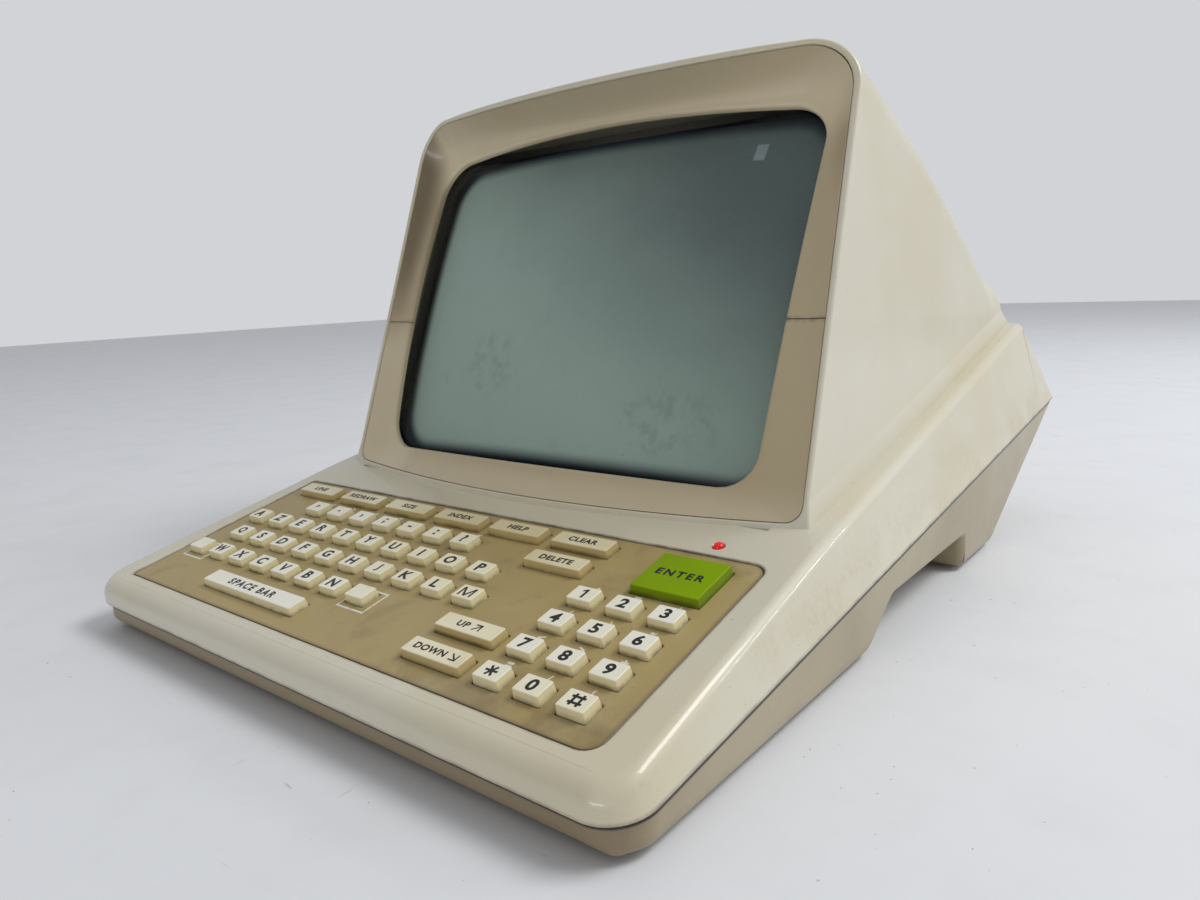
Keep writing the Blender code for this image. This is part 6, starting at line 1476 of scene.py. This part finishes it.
potting = plastic("potting_resin", RESIN, RESIN_PALE, 0.22, grain=2.5, depth=0.05, wear=0.1,
                  Coat_Weight=0.6, Coat_Roughness=0.08)
dress(potting, "flyback_transformer", "modem_module")
dress(black, "buzzer", "power_switch")

film, place = coordinates("contact_film")
x, y, z = place.parts()
row_near = (deck_place(y, z)[0] - LETTER_FRONT).near(ROW_PITCH)
pad_near = (x - LETTER_ROWS["lower_letters"][0]).near(KEY_PITCH)
carbon = (row_near**2 + pad_near**2).fall(5.5, 6.2)
silver = row_near.fall(0.35, 0.5).most(pad_near.fall(0.35, 0.5) * 0.9)
tone = place.mixed(place.noise(12, detail=3) * 0.3, FILM_CLEAR, FILM_AGED)
tone = place.mixed(carbon, place.mixed(silver, tone, SILVER), CARBON)
surface(film, tone, 0.28 + carbon * 0.3 + place.noise(3, detail=3) * 0.1, carbon + silver, 0.03,
        Coat_Weight=0.3, Coat_Roughness=0.1)
dress(film, "contact_sheet")

# Studio: a pale table that keeps the terminal's shadow, three soft lamps, a wall that is lighter to the camera
# than in reflections, and the camera where the photo was taken.
TABLE_TONE, TABLE_WORN, TABLE_DIRT = (0.785, 0.793, 0.812, 1), (0.73, 0.735, 0.745, 1), (0.16, 0.14, 0.11, 1)
TABLE_REACH = 3000
WALL_TONE, WALL_STRENGTH, SKY_STRENGTH, SKY_BEHIND = (0.94, 0.96, 1, 1), 0.68, 0.34, 0.30
CAMERA_PLACE, CAMERA_TURN = (0.22039, -0.29809, 0.11898), (1.38125, 0.04103, 0.67712)
CAMERA_LENS, CAMERA_SENSOR = 25.992, 36
table, place = coordinates("table_top")
worn = place.noise(45, detail=5, roughness=0.65).rise(0.42, 0.72)
across = place.stretched(0.08, 1, 1).noise(6, detail=3, bend=1.5).rise(0.735, 0.75)
along = place.stretched(1, 0.06, 1).noise(9, detail=3, bend=1.2).rise(0.745, 0.76)
scratch = across.most(along) * place.noise(30).rise(0.5, 0.6)
crumbs = place.noise(2.6, detail=2, roughness=0.7).rise(0.735, 0.755)
tone = place.mixed(worn * 0.5, TABLE_TONE, TABLE_WORN)
tone = place.mixed((scratch * 0.35).most(crumbs * 0.7), tone, TABLE_DIRT)
surface(table, tone, 0.55 + worn * 0.12 + scratch * 0.2, place.noise(12, detail=3), 0.01,
        Specular_IOR_Level=0.3)
corners = TABLE_REACH * np.array(((-1, -1, 0), (1, -1, 0), (1, 1, 0), (-1, 1, 0)))
table_top = solid("table_top", (corners, [(0, 1, 2, 3)]))
table_top.data.materials.append(table)


def lamp(name, place, aim, width, height, power, colour=(1, 1, 1)):
    """A rectangular soft lamp, in metres, turned from its place to the point it lights."""
    light = bpy.data.lights.new(name, "AREA")
    light.shape, light.size, light.size_y, light.energy, light.color = "RECTANGLE", width, height, power, colour
    holder = bpy.data.objects.new(name, light)
    holder.location = place
    holder.rotation_euler = (Vector(aim) - Vector(place)).to_track_quat("-Z", "Y").to_euler()
    bpy.context.scene.collection.objects.link(holder)


lamp("key_lamp", (1.0, 0.55, 1.5), (0, 0, 0.05), 0.8, 0.6, 16.5)
lamp("ridge_lamp", (1.12, 1.02, 0.78), (0.12, -0.10, 0.03), 0.5, 0.03, 2.6, (0.85, 0.93, 1.0))
lamp("hood_lamp", (0.25, -1.5, 0.12), (0, 0, 0.12), 0.9, 0.15, 3.2)

world = bpy.data.worlds.new("studio")
world.use_nodes = True
bpy.context.scene.world = world
tree = world.node_tree
seen = Wire(tree).node("LightPath", out="Is Camera Ray")
behind = Wire(tree).node("TexCoord", out="Generated").parts()[1].rise(-0.7, 0.6)
strength = seen * WALL_STRENGTH + (1 - seen) * (SKY_STRENGTH + behind * SKY_BEHIND)
tree.nodes["Background"].inputs["Color"].default_value = WALL_TONE
tree.links.new(strength.socket, tree.nodes["Background"].inputs["Strength"])

camera_data = bpy.data.cameras.new("photo_camera")
camera_data.lens, camera_data.sensor_width, camera_data.clip_start = CAMERA_LENS, CAMERA_SENSOR, 0.01
camera = bpy.data.objects.new("photo_camera", camera_data)
camera.location, camera.rotation_euler = CAMERA_PLACE, CAMERA_TURN
bpy.context.scene.collection.objects.link(camera)
bpy.context.scene.camera = camera
bpy.context.scene.view_settings.view_transform = "Standard"
